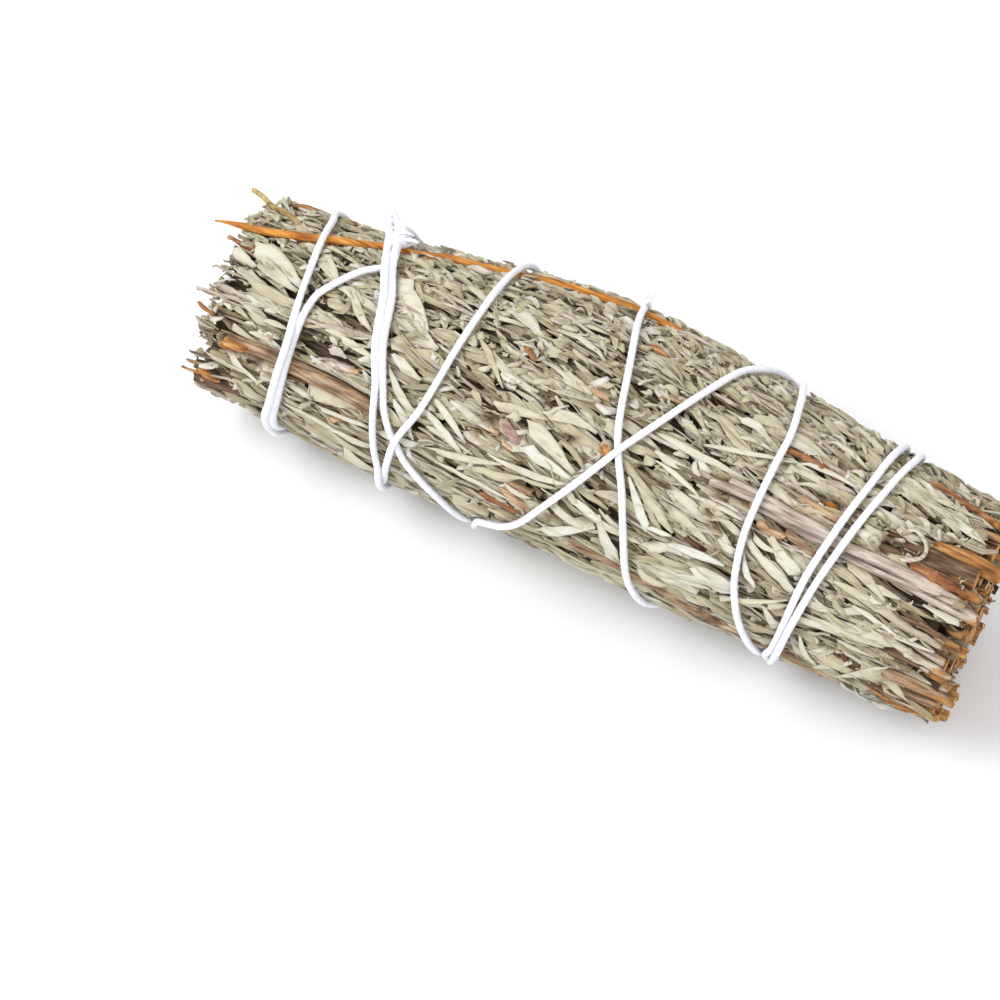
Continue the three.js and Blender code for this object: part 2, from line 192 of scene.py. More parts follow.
def evenSteps(route, step):
    line = onBundle(route[:, 0], route[:, 1], 0)
    lengths = np.concatenate([[0], np.cumsum(np.linalg.norm(np.diff(line, axis=0), axis=1))])
    at = np.linspace(0, lengths[-1], int(lengths[-1] / step) + 1)
    return np.stack([np.interp(at, lengths, route[:, i]) for i in range(route.shape[1])], axis=1)


def smoothed(values, width):
    kernel = np.hanning(width + 2)[1:-1]
    padded = np.pad(values, width // 2, mode="edge")
    return np.convolve(padded, kernel / kernel.sum(), mode="valid")[: len(values)]


def flatPlace(x, angle):  # on the unrolled bundle, in millimetres
    return np.stack([x, np.radians(np.mod(angle, 360)) * bundle["bellyRadius"]], axis=-1)


unrolled = 2 * math.pi * bundle["bellyRadius"]


def treeOf(places, copies=(0,)):
    tree = kdtree.KDTree(len(copies) * len(places))
    for copy in copies:
        for i, (x, arc) in enumerate(places):
            tree.insert((x, arc + copy * unrolled, 0), i)
    tree.balance()
    return tree


# Along a winding the place x is a smooth function of the angle turned through, and never swings
# past the points it is given.
def windingCurve(points, count):
    points = np.asarray(points, float)
    turned = points[0, 1] - points[:, 1]
    gaps = np.diff(turned)
    slopes = np.diff(points[:, 0]) / gaps
    tangents = np.zeros(len(points))
    tangents[0], tangents[-1] = slopes[0], slopes[-1]
    for i in range(1, len(points) - 1):
        before, after = slopes[i - 1], slopes[i]
        if before * after > 0:
            near, far = 2 * gaps[i] + gaps[i - 1], gaps[i] + 2 * gaps[i - 1]
            tangents[i] = (near + far) / (near / before + far / after)
    at = np.linspace(0, turned[-1], count)
    i = np.clip(np.searchsorted(turned, at, side="right") - 1, 0, len(gaps) - 1)
    t = (at - turned[i]) / gaps[i]
    x = (
        (2 * t**3 - 3 * t**2 + 1) * points[i, 0]
        + (t**3 - 2 * t**2 + t) * gaps[i] * tangents[i]
        + (3 * t**2 - 2 * t**3) * points[i + 1, 0]
        + (t**3 - t**2) * gaps[i] * tangents[i + 1]
    )
    return np.column_stack([x, points[0, 1] - at])


def makeStringRoute():
    points = [(x, angle - 360 * i) for i, turn in enumerate(windings) for x, angle in turn]
    route = evenSteps(windingCurve(points, string["samples"]), string["step"])
    place = flatPlace(route[:, 0], route[:, 1])
    tree = treeOf(place)
    reach = 2 * string["radius"] + string["besideTurn"]
    lift = np.zeros(len(route))
    for i, (x, arc) in enumerate(place):
        for _, j, gap in tree.find_range((x, arc, 0), reach):
            if abs(i - j) * string["step"] < string["ownLength"]:
                continue
            near = math.cos(min(1, gap / reach) * math.pi / 2) ** 2
            if j < i:
                lift[i] = max(lift[i], string["crossingLift"] * near)
            elif lift[i] == 0:
                lift[i] = min(lift[i], -string["crossingDip"] * near)
    rng = np.random.default_rng(5)
    blend = string["blend"]
    uneven = smoothed(rng.normal(0, 1, len(route)), blend["unevenness"]) * string["unevenness"]
    heights = -string["sunk"] + smoothed(lift, blend["lift"]) + uneven
    return np.column_stack([route, heights])


stringRoute = makeStringRoute()
stringLine = offFloor(onBundle(*stringRoute.T), string["radius"], 0.1)
stringLength = np.linalg.norm(np.diff(stringLine, axis=0), axis=1).sum()
print("string: %.0f mm long" % stringLength)

# route: (x, angle); lift: the stem's top, from the leaf tops; buried: how much of its start and its
# end slopes down under the leaves. strands: how far aside (degrees), how high, share of the radius,
# and from where to where, as shares of the length.
bareStems = {
    "grey_stem": {"radius": 1.1, "wood": "mauveBark", "slot": "stem", "lift": -0.6, "buried": (3, 0),
                  "strands": [(0, 0.5, 0.52, 0, 0.55), (3.4, 0.3, 0.42, 0.1, 0.95),
                              (-3.0, 0.35, 0.4, 0.2, 1), (0.6, 0.1, 0.46, 0.45, 1)],
                  "route": [(17.4, 60.5), (24.6, 63.5), (30.6, 62.5), (37.2, 61.5), (43.8, 62),
                            (50.4, 60), (54, 58.5)]},
    "brown_stem": {"radius": 1.15, "wood": "brownBark", "slot": "stem", "lift": -0.65, "buried": (0, 3),
                   "strands": [(0.4, 0.25, 0.72, 0, 0.9), (-3.2, 0.2, 0.45, 0.3, 1),
                              (3.6, 0.1, 0.38, 0, 0.5)],
                   "route": [(-46, 28.5), (-40.6, 30.5), (-31.4, 31), (-26.4, 28.5), (-22, 24)]},
    "tip_stem": {"radius": 1.05, "wood": "darkBark", "slot": "stem", "lift": -0.75, "buried": (0, 4),
                 "route": [(-50.5, -12), (-46, -9), (-40.5, -7)]},
    "edge_stem": {"radius": 0.6, "wood": "brownBark", "slot": "stem", "lift": -0.6, "buried": (3, 3),
                  "route": [(3, 3), (12, -1), (21, -9), (28, -16), (36, -22), (43, -25)]},
    "split_stick": {"radius": 1.3, "size": 0.8, "wood": "splitWood", "slot": "split_wood", "lift": -0.7,
                    "buried": (3, 0), "route": [(44.5, 84), (49, 84.5), (54.5, 85)]},
    "butt_stem_upper": {"radius": 1.1, "size": 0.9, "wood": "brownBark", "slot": "stem", "lift": -0.9,
                        "buried": (4, 0), "route": [(43.6, 6), (49, 7.5), (55, 6.5)]},
    "butt_stem_lower": {"radius": 1.1, "size": 0.9, "wood": "brownBark", "slot": "stem", "lift": -0.9,
                        "buried": (4, 0), "route": [(43, -13), (49, -17), (53.6, -17)]},
    "orange_twig": {"radius": 0.62, "size": 0.96, "pointed": 9, "wood": "amberTwig", "slot": "twig",
                    "lift": -0.35, "buried": (0, 3),
                    "route": [(-53.5, 92), (-51.4, 95), (-46, 99), (-41.4, 104), (-36, 112), (-31, 119),
                              (-25, 126), (-18, 130), (-10.8, 132), (-2, 133), (8, 133)]},
    "gold_twig": {"radius": 0.5, "size": 0.75, "wood": "goldTwig", "slot": "twig", "lift": -0.35,
                  "buried": (0, 2),
                  "route": [(-54, 140), (-51.4, 130), (-49.4, 122.5), (-46.6, 117.5), (-43.2, 112)]},
    "amber_strip": {"radius": 0.55, "size": 0.8, "wood": "rustBark", "slot": "twig", "lift": -0.4,
                    "buried": (2, 0), "route": [(40.8, 122), (46, 119.5), (51.6, 111)]},
}
stemStep = 0.5
buriedDepth = 1.8


def stemRoute(stem):
    route = evenSteps(splineThrough(stem["route"], 400), stemStep)
    along = np.arange(len(route)) * stemStep
    height = np.full(len(route), stem["lift"] - stem["radius"])
    for length, run in zip(stem["buried"], (along, along[::-1])):
        if length:
            height -= buriedDepth * np.clip(1 - run / length, 0, 1) ** 2
    return np.column_stack([route, height])


def shownRoute(stem):
    start, end = (int(length / stemStep) for length in stem["buried"])
    route = stemRoute(stem)
    return route[start:len(route) - end]


# A ceiling for the leaves over the unrolled bundle: the underside of the string and of bare stems.
ceilingGrid = {"xStep": 0.25, "xReach": 60.0, "angleStep": 0.75, "open": 9.0, "slope": 0.9, "beside": 1.8,
               "gap": 0.04, "hollowEdge": 1.3}

# Hollows between the leaves, pressed down so that the painted shade makes them dark: x, angle, half length,
# half width, depth.
hollows = [
    (32.6, 80, 2.0, 1.0, 2.6), (40.4, 70, 1.3, 0.6, 2.2), (41.4, 74, 1.4, 1.0, 3.4),
    (51.6, 47, 2.2, 1.0, 2.6), (48.8, 76, 3.2, 0.7, 3.0), (-9.0, 46, 1.4, 0.9, 2.8),
    (-10.2, 38, 0.6, 0.5, 2.4), (-1.4, 24, 2.2, 0.6, 2.8), (-14.6, 20, 2.2, 0.4, 2.4),
    (-6.8, -9, 2.4, 0.5, 2.4), (2.2, 13, 1.2, 0.6, 2.4), (6.5, 20, 1.2, 0.5, 2.4),
    (1.4, 52, 1.2, 0.5, 2.2), (4.3, 63, 0.7, 0.4, 2.2), (-35.6, 41, 0.8, 0.5, 2.6),
    (-35.3, 58, 0.8, 0.4, 2.0), (46.6, 74.5, 1.6, 0.8, 3.4), (48.9, 69.5, 1.6, 1.0, 2.4),
    (-41.5, 25, 1.4, 0.9, 3.0), (-44.4, 9, 2.2, 0.5, 2.6), (-43.5, 78, 2.7, 0.3, 2.0),
    (-48.2, 74, 2.0, 0.4, 2.2), (-33.4, 16, 1.3, 0.4, 2.2), (11.0, 53, 1.4, 0.5, 2.6),
    (13.9, 51, 1.5, 0.5, 2.4), (15.0, 43, 0.7, 0.5, 2.2), (21.1, 56, 0.8, 0.5, 2.4),
    (20.0, 48, 0.8, 0.5, 2.2), (21.5, 43, 0.8, 0.7, 2.6), (12.6, 17, 0.8, 0.6, 2.4),
    (25.6, 48, 0.7, 0.5, 2.4), (30.8, 60, 0.9, 0.7, 2.6), (19.1, 23, 2.0, 0.4, 2.2),
    (23.5, 9, 2.1, 0.5, 2.4), (13.9, 24, 1.8, 0.4, 2.2), (27.6, 24, 1.2, 0.4, 2.2),
    (34.5, -16, 1.2, 0.7, 2.4), (38.6, 8, 1.2, 0.7, 2.6), (31.4, 62, 1.8, 0.6, 2.2),
    (17.6, 73, 1.2, 0.4, 2.0), (40.8, 7, 1.2, 0.8, 2.2), (46.2, 59, 1.2, 0.5, 2.0),
    (39.0, 17, 1.0, 0.5, 2.0),
]


def makeCeiling():
    xs = np.arange(-ceilingGrid["xReach"], ceilingGrid["xReach"] + 1e-6, ceilingGrid["xStep"])
    angles = np.arange(0, 360, ceilingGrid["angleStep"])
    arcs = np.radians(angles) * bundle["bellyRadius"]
    rods = [(stringRoute, string["radius"])]
    rods += [(shownRoute(stem), stem["radius"] * stem.get("size", 1)) for stem in bareStems.values()]
    ceiling = np.full((len(xs), len(angles)), ceilingGrid["open"])
    for route, radius in rods:
        place = flatPlace(route[:, 0], route[:, 1])
        tree = treeOf(place, (-1, 0, 1))
        reach = radius + ceilingGrid["beside"]
        for i in np.nonzero((xs > place[:, 0].min() - reach) & (xs < place[:, 0].max() + reach))[0]:
            for j, angle in enumerate(angles):
                _, near, gap = tree.find((xs[i], math.radians(angle) * bundle["bellyRadius"], 0))
                if gap > reach:
                    continue
                if gap < radius:
                    under = route[near, 2] - math.sqrt(radius**2 - gap**2)
                else:
                    under = route[near, 2] + (gap - radius) * ceilingGrid["slope"]
                ceiling[i, j] = min(ceiling[i, j], under - ceilingGrid["gap"])
    for x, angle, long, wide, depth in hollows:
        aside = (arcs - math.radians(angle % 360) * bundle["bellyRadius"]) / wide
        away = np.hypot(((xs - x) / long)[:, None], aside[None, :])
        inside = ceilingGrid["hollowEdge"] - away
        lowered = np.where(inside > 0, -depth * np.clip(2 * inside, 0, 1), ceilingGrid["open"])
        ceiling = np.minimum(ceiling, lowered)
    return ceiling


ceiling = makeCeiling()


def ceilingAt(x, angle):
    rows, columns = ceiling.shape
    u = np.clip((x + ceilingGrid["xReach"]) / ceilingGrid["xStep"], 0, rows - 1.001)
    v = np.mod(angle, 360) / ceilingGrid["angleStep"]
    i, j = u.astype(int), v.astype(int) % columns
    a, b = u - i, v - np.floor(v)
    k = (j + 1) % columns
    low = ceiling[i, j] * (1 - b) + ceiling[i, k] * b
    high = ceiling[i + 1, j] * (1 - b) + ceiling[i + 1, k] * b
    return low * (1 - a) + high * a


# Leaves slide under what lies on them, and keep their order.
def underCeiling(x, angle, height, soft=0.7, proudest=0.1):
    top = np.minimum(ceilingAt(x, angle), proudest)
    over = height - (top - soft)
    pressed = top - soft * np.exp(-np.maximum(over, 0) / soft)
    return np.where(over > 0, pressed, height)


print("ceiling: %d x %d" % ceiling.shape)


# Geometry trees and materials add their nodes in one way. An input that is given a socket or a node
# is linked to it, and any other value is set on it.
class Nodes:
    def __init__(self, tree):
        self.tree, self.nodes, self.links = tree, tree.nodes, tree.links

    def give(self, socket, value):
        if isinstance(value, bpy.types.Node):
            value = value.outputs[0]
        if isinstance(value, bpy.types.NodeSocket):
            self.links.new(value, socket)
        else:
            socket.default_value = value

    def node(self, kind, inputs=None, **settings):
        made = self.nodes.new(kind)
        for key, value in settings.items():
            setattr(made, key, value)
        for key, value in (inputs or {}).items():
            self.give(made.inputs[key], value)
        return made

    def math(self, operation, a, b=0.0):
        return self.node("ShaderNodeMath", {0: a, 1: b}, operation=operation)


class Tree(Nodes):
    def __init__(self, name, makes, inputs):
        super().__init__(bpy.data.node_groups.new(name, "GeometryNodeTree"))
        for label, kind, *default in inputs:
            socket = self.tree.interface.new_socket(
                name=label, in_out="INPUT", socket_type="NodeSocket" + kind
            )
            if default:
                socket.default_value = default[0]
        self.tree.interface.new_socket(name=makes, in_out="OUTPUT", socket_type="NodeSocketGeometry")
        self.given = self.node("NodeGroupInput").outputs

    def vector(self, operation, a, b):
        second = "Scale" if operation == "SCALE" else 1
        return self.node("ShaderNodeVectorMath", {0: a, second: b}, operation=operation)

    def compare(self, operation, a, b):
        return self.node("FunctionNodeCompare", {0: a, 1: b}, data_type="FLOAT", operation=operation)

    # A random value whose seed is the tree's own, moved on by an offset.
    def draw(self, kind, offset, low, high):
        first, out = {"FLOAT_VECTOR": (0, 0), "FLOAT": (2, 1), "INT": (4, 2)}[kind]
        seed = self.node("FunctionNodeIntegerMath", {0: self.given["Seed"], 1: offset}, operation="ADD")
        drawn = self.node("FunctionNodeRandomValue", {first: low, first + 1: high, "Seed": seed},
                          data_type=kind)
        return drawn.outputs[out]

    def store(self, geometry, name, value, domain):
        return self.node("GeometryNodeStoreNamedAttribute", {
            "Geometry": geometry, "Name": name, "Value": value,
        }, data_type="FLOAT", domain=domain)

    def strew(self, points, shape, turn, size, pick=None):
        inputs = {"Points": points, "Instance": shape, "Rotation": turn, "Scale": size}
        if pick is not None:
            inputs.update({"Pick Instance": True, "Instance Index": pick})
        return self.node("GeometryNodeInstanceOnPoints", inputs)

    def givenShapes(self):
        return self.node("GeometryNodeCollectionInfo", {
            "Collection": self.given["Shapes"], "Separate Children": True, "Reset Children": True,
        })

    def ring(self):
        return self.node("GeometryNodeCurvePrimitiveCircle", {
            "Resolution": self.given["Sides"], "Radius": 1.0,
        }, mode="RADIUS")

    def tube(self, path, ring):
        return self.node("GeometryNodeCurveToMesh", {
            "Curve": path, "Profile Curve": ring, "Scale": self.node("GeometryNodeInputRadius"),
            "Fill Caps": True,
        })

    def moved(self, geometry, offset):
        return self.node("GeometryNodeSetPosition", {"Geometry": geometry, "Offset": offset})

    def paint(self, geometry, label="Material", **chosen):
        inputs = {"Geometry": geometry, **chosen, "Material": self.given[label]}
        return self.node("GeometryNodeSetMaterial", inputs)

    def realize(self, geometry):
        return self.node("GeometryNodeRealizeInstances", {0: geometry})

    def finish(self, geometry):
        self.node("NodeGroupOutput", {0: geometry})
        return self


# The plain mesh that a tree makes of a mesh or a curve, which is used up.
def grown(name, data, tree, values):
    carrier = linked(name, data)
    modifier = carrier.modifiers.new("nodes", "NODES")
    modifier.node_group = tree.tree
    for item in tree.tree.interface.items_tree:
        if item.item_type == "SOCKET" and item.in_out == "INPUT" and item.name in values:
            modifier[item.identifier] = values[item.name]
    graph = bpy.context.evaluated_depsgraph_get()
    made = bpy.data.meshes.new_from_object(
        carrier.evaluated_get(graph), preserve_all_data_layers=True, depsgraph=graph
    )
    bpy.data.objects.remove(carrier)
    made.name = name
    return made


def linked(name, data):
    obj = bpy.data.objects.new(name, data)
    bpy.context.scene.collection.objects.link(obj)
    return obj


def joinInto(first, others):
    parts = [first, *others]
    with bpy.context.temp_override(active_object=first, object=first, selected_editable_objects=parts):
        bpy.ops.object.join()


def joined(name, meshes):
    first, *others = [linked(name, mesh) for mesh in meshes]
    joinInto(first, others)
    return first


def vertexArray(mesh):
    flat = np.empty(len(mesh.vertices) * 3)
    mesh.vertices.foreach_get("co", flat)
    return flat.reshape(-1, 3)


def setVertices(mesh, places):
    mesh.vertices.foreach_set("co", np.ascontiguousarray(places).ravel())
    mesh.update()


def setAttribute(mesh, name, values, kind="FLOAT"):
    layer = mesh.attributes.get(name) or mesh.attributes.new(name, kind, "POINT")
    field = "vector" if kind == "FLOAT_VECTOR" else "value"
    layer.data.foreach_set(field, np.ascontiguousarray(values, dtype=np.float32).ravel())


def smoothFaces(mesh):
    mesh.polygons.foreach_set("use_smooth", np.ones(len(mesh.polygons), dtype=bool))


# Nothing moves, so every piece rides on the root body.
def handOver(obj, slotName, *nodes):
    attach(obj, "root")
    if nodes:
        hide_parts(*nodes)


class Look(Nodes):
    def __init__(self, name, **shader):
        self.material = bpy.data.materials.new(name)
        self.material.use_nodes = True
        super().__init__(self.material.node_tree)
        self.shader = self.nodes["Principled BSDF"]
        for key, value in shader.items():
            self.shader.inputs[key].default_value = value

    def attribute(self, name):
        return self.node("ShaderNodeAttribute", attribute_name=name).outputs["Fac"]

    def place(self):
        return self.node("ShaderNodeTexCoord").outputs["Object"]

    def placeAlong(self, axis):
        return self.node("ShaderNodeSeparateXYZ", {"Vector": self.place()}).outputs[axis]

    def noise(self, scale, detail=3.0, stretch=(1, 1, 1), offset=0.0):
        mapping = self.node("ShaderNodeMapping", {
            "Vector": self.place(), "Scale": stretch, "Location": (offset, offset, offset),
        })
        inputs = {"Vector": mapping, "Scale": scale, "Detail": detail}
        return self.node("ShaderNodeTexNoise", inputs).outputs["Fac"]

    def ramp(self, fac, stops):
        ramp = self.node("ShaderNodeValToRGB", {"Fac": fac})
        elements = ramp.color_ramp.elements
        while len(elements) < len(stops):
            elements.new(0.5)
        for element, (position, colour) in zip(elements, stops):
            element.position = position
            element.color = (*colour, 1)
        return ramp.outputs["Color"]

    def mix(self, fac, a, b, blend="MIX"):
        a, b = ((*colour, 1) if isinstance(colour, tuple) else colour for colour in (a, b))
        return self.node("ShaderNodeMix", {0: fac, 6: a, 7: b}, data_type="RGBA",
                         blend_type=blend).outputs[2]

    def spread(self, value, fromLow, fromHigh, low=0.0, high=1.0):
        return self.node("ShaderNodeMapRange", {
            "Value": value, "From Min": fromLow, "From Max": fromHigh, "To Min": low, "To Max": high,
        }).outputs["Result"]

    # Sets the colour and a bump, and gives the material.
    def finish(self, colour, height, strength, distance):
        bump = self.node("ShaderNodeBump", {"Height": height, "Strength": strength, "Distance": distance})
        self.give(self.shader.inputs["Base Color"], colour)
        self.give(self.shader.inputs["Normal"], bump)
        return self.material


leafColours = [
    (0.0, (0.085, 0.058, 0.036)),
    (0.1, (0.17, 0.128, 0.086)),
    (0.24, (0.33, 0.285, 0.19)),
    (0.42, (0.455, 0.42, 0.28)),
    (0.62, (0.53, 0.508, 0.395)),
    (0.8, (0.592, 0.58, 0.515)),
    (0.91, (0.64, 0.635, 0.6)),
    (0.94, (0.47, 0.41, 0.35)),
    (1.0, (0.36, 0.295, 0.25)),
]
# Painted shade that darkens the gaps between the leaves, from deep down to the top.
leafShade = [
    (0.0, (0.13, 0.09, 0.06)), (0.3, (0.45, 0.36, 0.265)), (0.6, (0.79, 0.72, 0.64)), (0.9, (1, 1, 1)),
]


def makeLeafLook():
    look = Look("dried_sage_leaf", **{"Roughness": 0.88, "Specular IOR Level": 0.25,
                                      "Sheen Weight": 0.12, "Sheen Roughness": 0.5})
    mottle = look.spread(look.noise(900, 4), 0.3, 0.7, -0.05, 0.05)
    colour = look.ramp(look.math("ADD", look.attribute("leafTone"), mottle), leafColours)
    across = look.math("ABSOLUTE", look.attribute("across"))
    rib = look.spread(across, 0.0, 0.28, 0.16, 0.0)
    rim = look.spread(across, 0.65, 1.0, 0.0, 0.26)
    streak = look.spread(look.noise(1300, 3, (0.16, 1, 1), offset=0.6), 0.48, 0.7, 0.0, 0.45)
    rust = look.spread(look.noise(260, 2, offset=3.1), 0.6, 0.75, 0.0, 0.45)
    for share, stain in ((rib, (0.74, 0.71, 0.62)), (rim, (0.34, 0.29, 0.19)),
                         (streak, (0.3, 0.245, 0.165)), (rust, (0.33, 0.21, 0.11))):
        colour = look.mix(share, colour, stain)
    # Painted shade: the lower a leaf lies under the leaf tops, the darker its colour.
    shade = look.ramp(look.spread(look.attribute("height"), -3.0, -0.6), leafShade)
    # On the far side of the top the painted shade is eased off, so its gaps are paler.
    shadeEasedBehind = look.spread(look.placeAlong("Y"), -0.012, 0.006, 0.0, 0.75)
    colour = look.mix(1.0, colour, look.mix(shadeEasedBehind, shade, (1, 0.97, 0.92)), "MULTIPLY")
    return look.finish(colour, look.noise(2400, 3), 0.5, 0.0001)


# Where a stem ends at the butt its bark is torn off. Bark also gets painted shade, darker the lower it lies
# between the stems.
tornWood = {"from": 0.0512, "to": 0.0528, "ragged": 0.0022, "most": 0.85,
            "colours": [(0.36, (0.07, 0.028, 0.01)), (0.5, (0.3, 0.125, 0.032)),
                        (0.68, (0.6, 0.33, 0.11))]}


def makeBarkLook(name, dark, middle, pale, crack=0.6, tone=False, shaded=(-2.5, -1.1)):
    look = Look(name, **{"Roughness": 0.82, "Specular IOR Level": 0.3})
    toned = look.spread(look.attribute("stemTone"), 0, 1, -0.12, 0.12) if tone else 0.0
    grain = look.math("ADD", look.noise(2300, 5, (0.1, 1, 1)), toned)
    colour = look.ramp(grain, [(0.3, dark), (0.5, middle), (0.72, pale)])
    patch = look.noise(420, 3, (0.4, 1, 1), offset=1.7)
    colour = look.mix(look.spread(patch, 0.45, 0.7, 0.0, 0.6), colour, dark)
    # Painted shade: bark is coloured darker the lower it lies under the leaf tops.
    depth = look.spread(look.attribute("height"), *shaded)
    shade = look.ramp(depth, [(0.0, (0.13, 0.1, 0.08)), (1.0, (1, 1, 1))])
    colour = look.mix(1.0, colour, shade, "MULTIPLY")
    ragged = look.spread(look.noise(700, 3, (0.3, 1, 1)), 0.35, 0.65, -tornWood["ragged"],
                         tornWood["ragged"])
    torn = look.spread(look.math("ADD", look.placeAlong("X"), ragged), tornWood["from"], tornWood["to"],
                       0.0, tornWood["most"])
    wood = look.ramp(look.noise(900, 4, (0.25, 1, 1), offset=2.4), tornWood["colours"])
    return look.finish(look.mix(torn, colour, wood), grain, crack, 0.0003)


def makeEndGrainLook():
    look = Look("cut_end_wood", **{"Roughness": 0.8, "Specular IOR Level": 0.25})
    fromPith = look.attribute("fromPith")
    rings = look.math("SINE", look.math("MULTIPLY", fromPith, 22.0))
    fibre = look.noise(1800, 4)
    colour = look.ramp(fibre, [(0.3, (0.1, 0.036, 0.01)), (0.5, (0.42, 0.18, 0.045)),
                               (0.72, (0.74, 0.44, 0.18))])
    colour = look.mix(look.spread(rings, -1, 1, 0.0, 0.25), colour, (0.75, 0.5, 0.25))
    colour = look.mix(look.spread(fromPith, 0.8, 1.0, 0.0, 0.7), colour, (0.16, 0.09, 0.05))
    return look.finish(colour, fibre, 0.7, 0.0004)


def makeCottonLook():
    look = Look("cotton_string", **{"Roughness": 0.85, "Specular IOR Level": 0.3,
                                    "Sheen Weight": 0.4, "Sheen Roughness": 0.4})
    fibre = look.noise(2600, 4)
    colour = look.ramp(fibre, [(0.25, (0.76, 0.76, 0.85)), (0.6, (0.89, 0.89, 0.95)),
                               (0.8, (0.94, 0.94, 0.97))])
    return look.finish(colour, fibre, 0.4, 0.00012)


def makeCoreLook():
    # Near-black painted shade for the sprig's deep inside, seen through the gaps.
    look = Look("matted_core", **{"Roughness": 0.95, "Specular IOR Level": 0.15})
    fibre = look.noise(700, 5, (0.3, 1, 1))
    colour = look.ramp(fibre, [(0.3, (0.016, 0.012, 0.008)), (0.6, (0.07, 0.053, 0.034)),
                               (0.8, (0.16, 0.125, 0.08))])
    return look.finish(colour, fibre, 0.8, 0.0005)


looks = {
    "leaf": makeLeafLook(),
    "core": makeCoreLook(),
    "mauveBark": makeBarkLook("mauve_grey_bark", (0.15, 0.11, 0.085), (0.47, 0.395, 0.335), (0.7, 0.63, 0.56),
                              shaded=(-3.0, -1.6)),
    "brownBark": makeBarkLook("brown_bark", (0.075, 0.04, 0.022), (0.3, 0.19, 0.11), (0.55, 0.42, 0.285)),
    "darkBark": makeBarkLook("dark_bark", (0.035, 0.018, 0.012), (0.13, 0.07, 0.045), (0.28, 0.18, 0.13)),
    "splitWood": makeBarkLook("split_wood", (0.08, 0.028, 0.009), (0.36, 0.15, 0.042), (0.66, 0.38, 0.15),
                              0.9),
    "amberTwig": makeBarkLook("amber_twig", (0.2, 0.06, 0.012), (0.54, 0.205, 0.03), (0.76, 0.38, 0.09), 0.3),
    "goldTwig": makeBarkLook("gold_twig", (0.14, 0.085, 0.025), (0.42, 0.29, 0.1), (0.62, 0.48, 0.22), 0.3),
    "rustBark": makeBarkLook("rust_bark", (0.1, 0.035, 0.014), (0.3, 0.12, 0.045), (0.5, 0.28, 0.13)),
    "darkRust": makeBarkLook("dark_rust_bark", (0.02, 0.012, 0.008), (0.09, 0.04, 0.022), (0.2, 0.1, 0.06)),
    "tanWood": makeBarkLook("tan_wood", (0.2, 0.1, 0.045), (0.5, 0.33, 0.19), (0.7, 0.54, 0.38), 0.6),
    "paleTwig": makeBarkLook("pale_twig", (0.22, 0.17, 0.11), (0.52, 0.47, 0.37), (0.66, 0.63, 0.53), 0.5),
    "budSkin": makeBarkLook("bud_skin", (0.2, 0.11, 0.09), (0.34, 0.22, 0.19), (0.48, 0.36, 0.3), 0.3),
    # Butt bark is dark partly of its own and partly as painted shade, so the gaps between the butt stems look
    # dark.
    "buttBark": makeBarkLook("butt_bark", (0.03, 0.015, 0.008), (0.12, 0.065, 0.035), (0.34, 0.22, 0.14), 0.8,
                             True, (-2.2, -0.5)),
    "endGrain": makeEndGrainLook(),
    "cotton": makeCottonLook(),
}
print("materials: %d" % len(looks))


def table(columns, rows):
    return [dict(zip(columns, row)) for row in rows]


# Leaves are made in a few shapes of each kind. Each shape draws from these ranges: length, half width,
# the share of the length where it is widest, how far its margins curl (radians), a sharp fold, twist,
# bow up and sideways, teeth at the tip. The other values are the same for all shapes of a kind.
leafDraws = ("length", "half", "widest", "curl", "fold", "twist", "bow", "sway", "tooth")
leafKinds = {kind["name"]: kind for kind in table(
    ("name", *leafDraws, "shapes", "crinkle", "rings", "across", "thick", "blunt", "seed"), [
        ("sliver", (3.5, 8.0), (0.26, 0.5), (0.4, 0.8), (0.4, 1.6), (0.1, 0.9), (-0.6, 0.6), (-0.4, 0.5),
         (-0.6, 0.6), (0, 0), 14, 0.08, 5, 3, 0.15, 0.25, 11),
        ("blade", (4.5, 8.5), (0.5, 0.95), (0.5, 0.85), (0.2, 1.2), (0.0, 0.6), (-0.5, 0.5), (-0.5, 0.5),
         (-0.8, 0.8), (0, 0.3), 12, 0.09, 6, 4, 0.16, 0.25, 23),
        ("ribbon", (8.5, 14.5), (0.5, 0.95), (0.35, 0.75), (0.2, 1.3), (0.0, 0.6), (-0.5, 0.5),
         (-0.4, 0.4), (-0.9, 0.9), (0, 0.3), 10, 0.1, 8, 4, 0.18, 0.25, 71),
        ("wedge", (4.5, 7.5), (0.9, 1.5), (0.78, 0.92), (0.2, 0.8), (0.0, 0.4), (-0.3, 0.3), (-0.4, 0.5),
         (-0.6, 0.6), (0.2, 0.6), 8, 0.1, 6, 5, 0.16, 0.28, 29),
        ("crumb", (1.0, 2.8), (0.3, 0.7), (0.3, 0.8), (0.3, 1.5), (0.0, 0.7), (-0.9, 0.9), (-0.3, 0.4),
         (-0.4, 0.4), (0, 0.4), 14, 0.12, 3, 3, 0.2, 0.4, 37),
        ("stalk", (6.0, 16.0), (0.24, 0.5), (0.3, 0.6), (0, 0), (0, 0), (-0.5, 0.5), (-0.3, 0.3),
         (-0.5, 0.5), (0, 0), 8, 0.14, 6, 0, 0, 1.0, 53),
    ])}


# Shared by all leaves: how round the outline is, how far the root is crinkled and curled and what the
# tip adds to the curl, where along it a leaf twists, how much thinner its rims are, and how a stalk
# tapers and varies.
leafForm = {"round": 0.8, "rootCrinkle": 0.4, "rootCurl": 0.7, "tipCurl": 0.3, "twistAt": 0.3,
            "thinRim": 0.35, "stalkTaper": 0.35, "stalkUneven": 0.08}


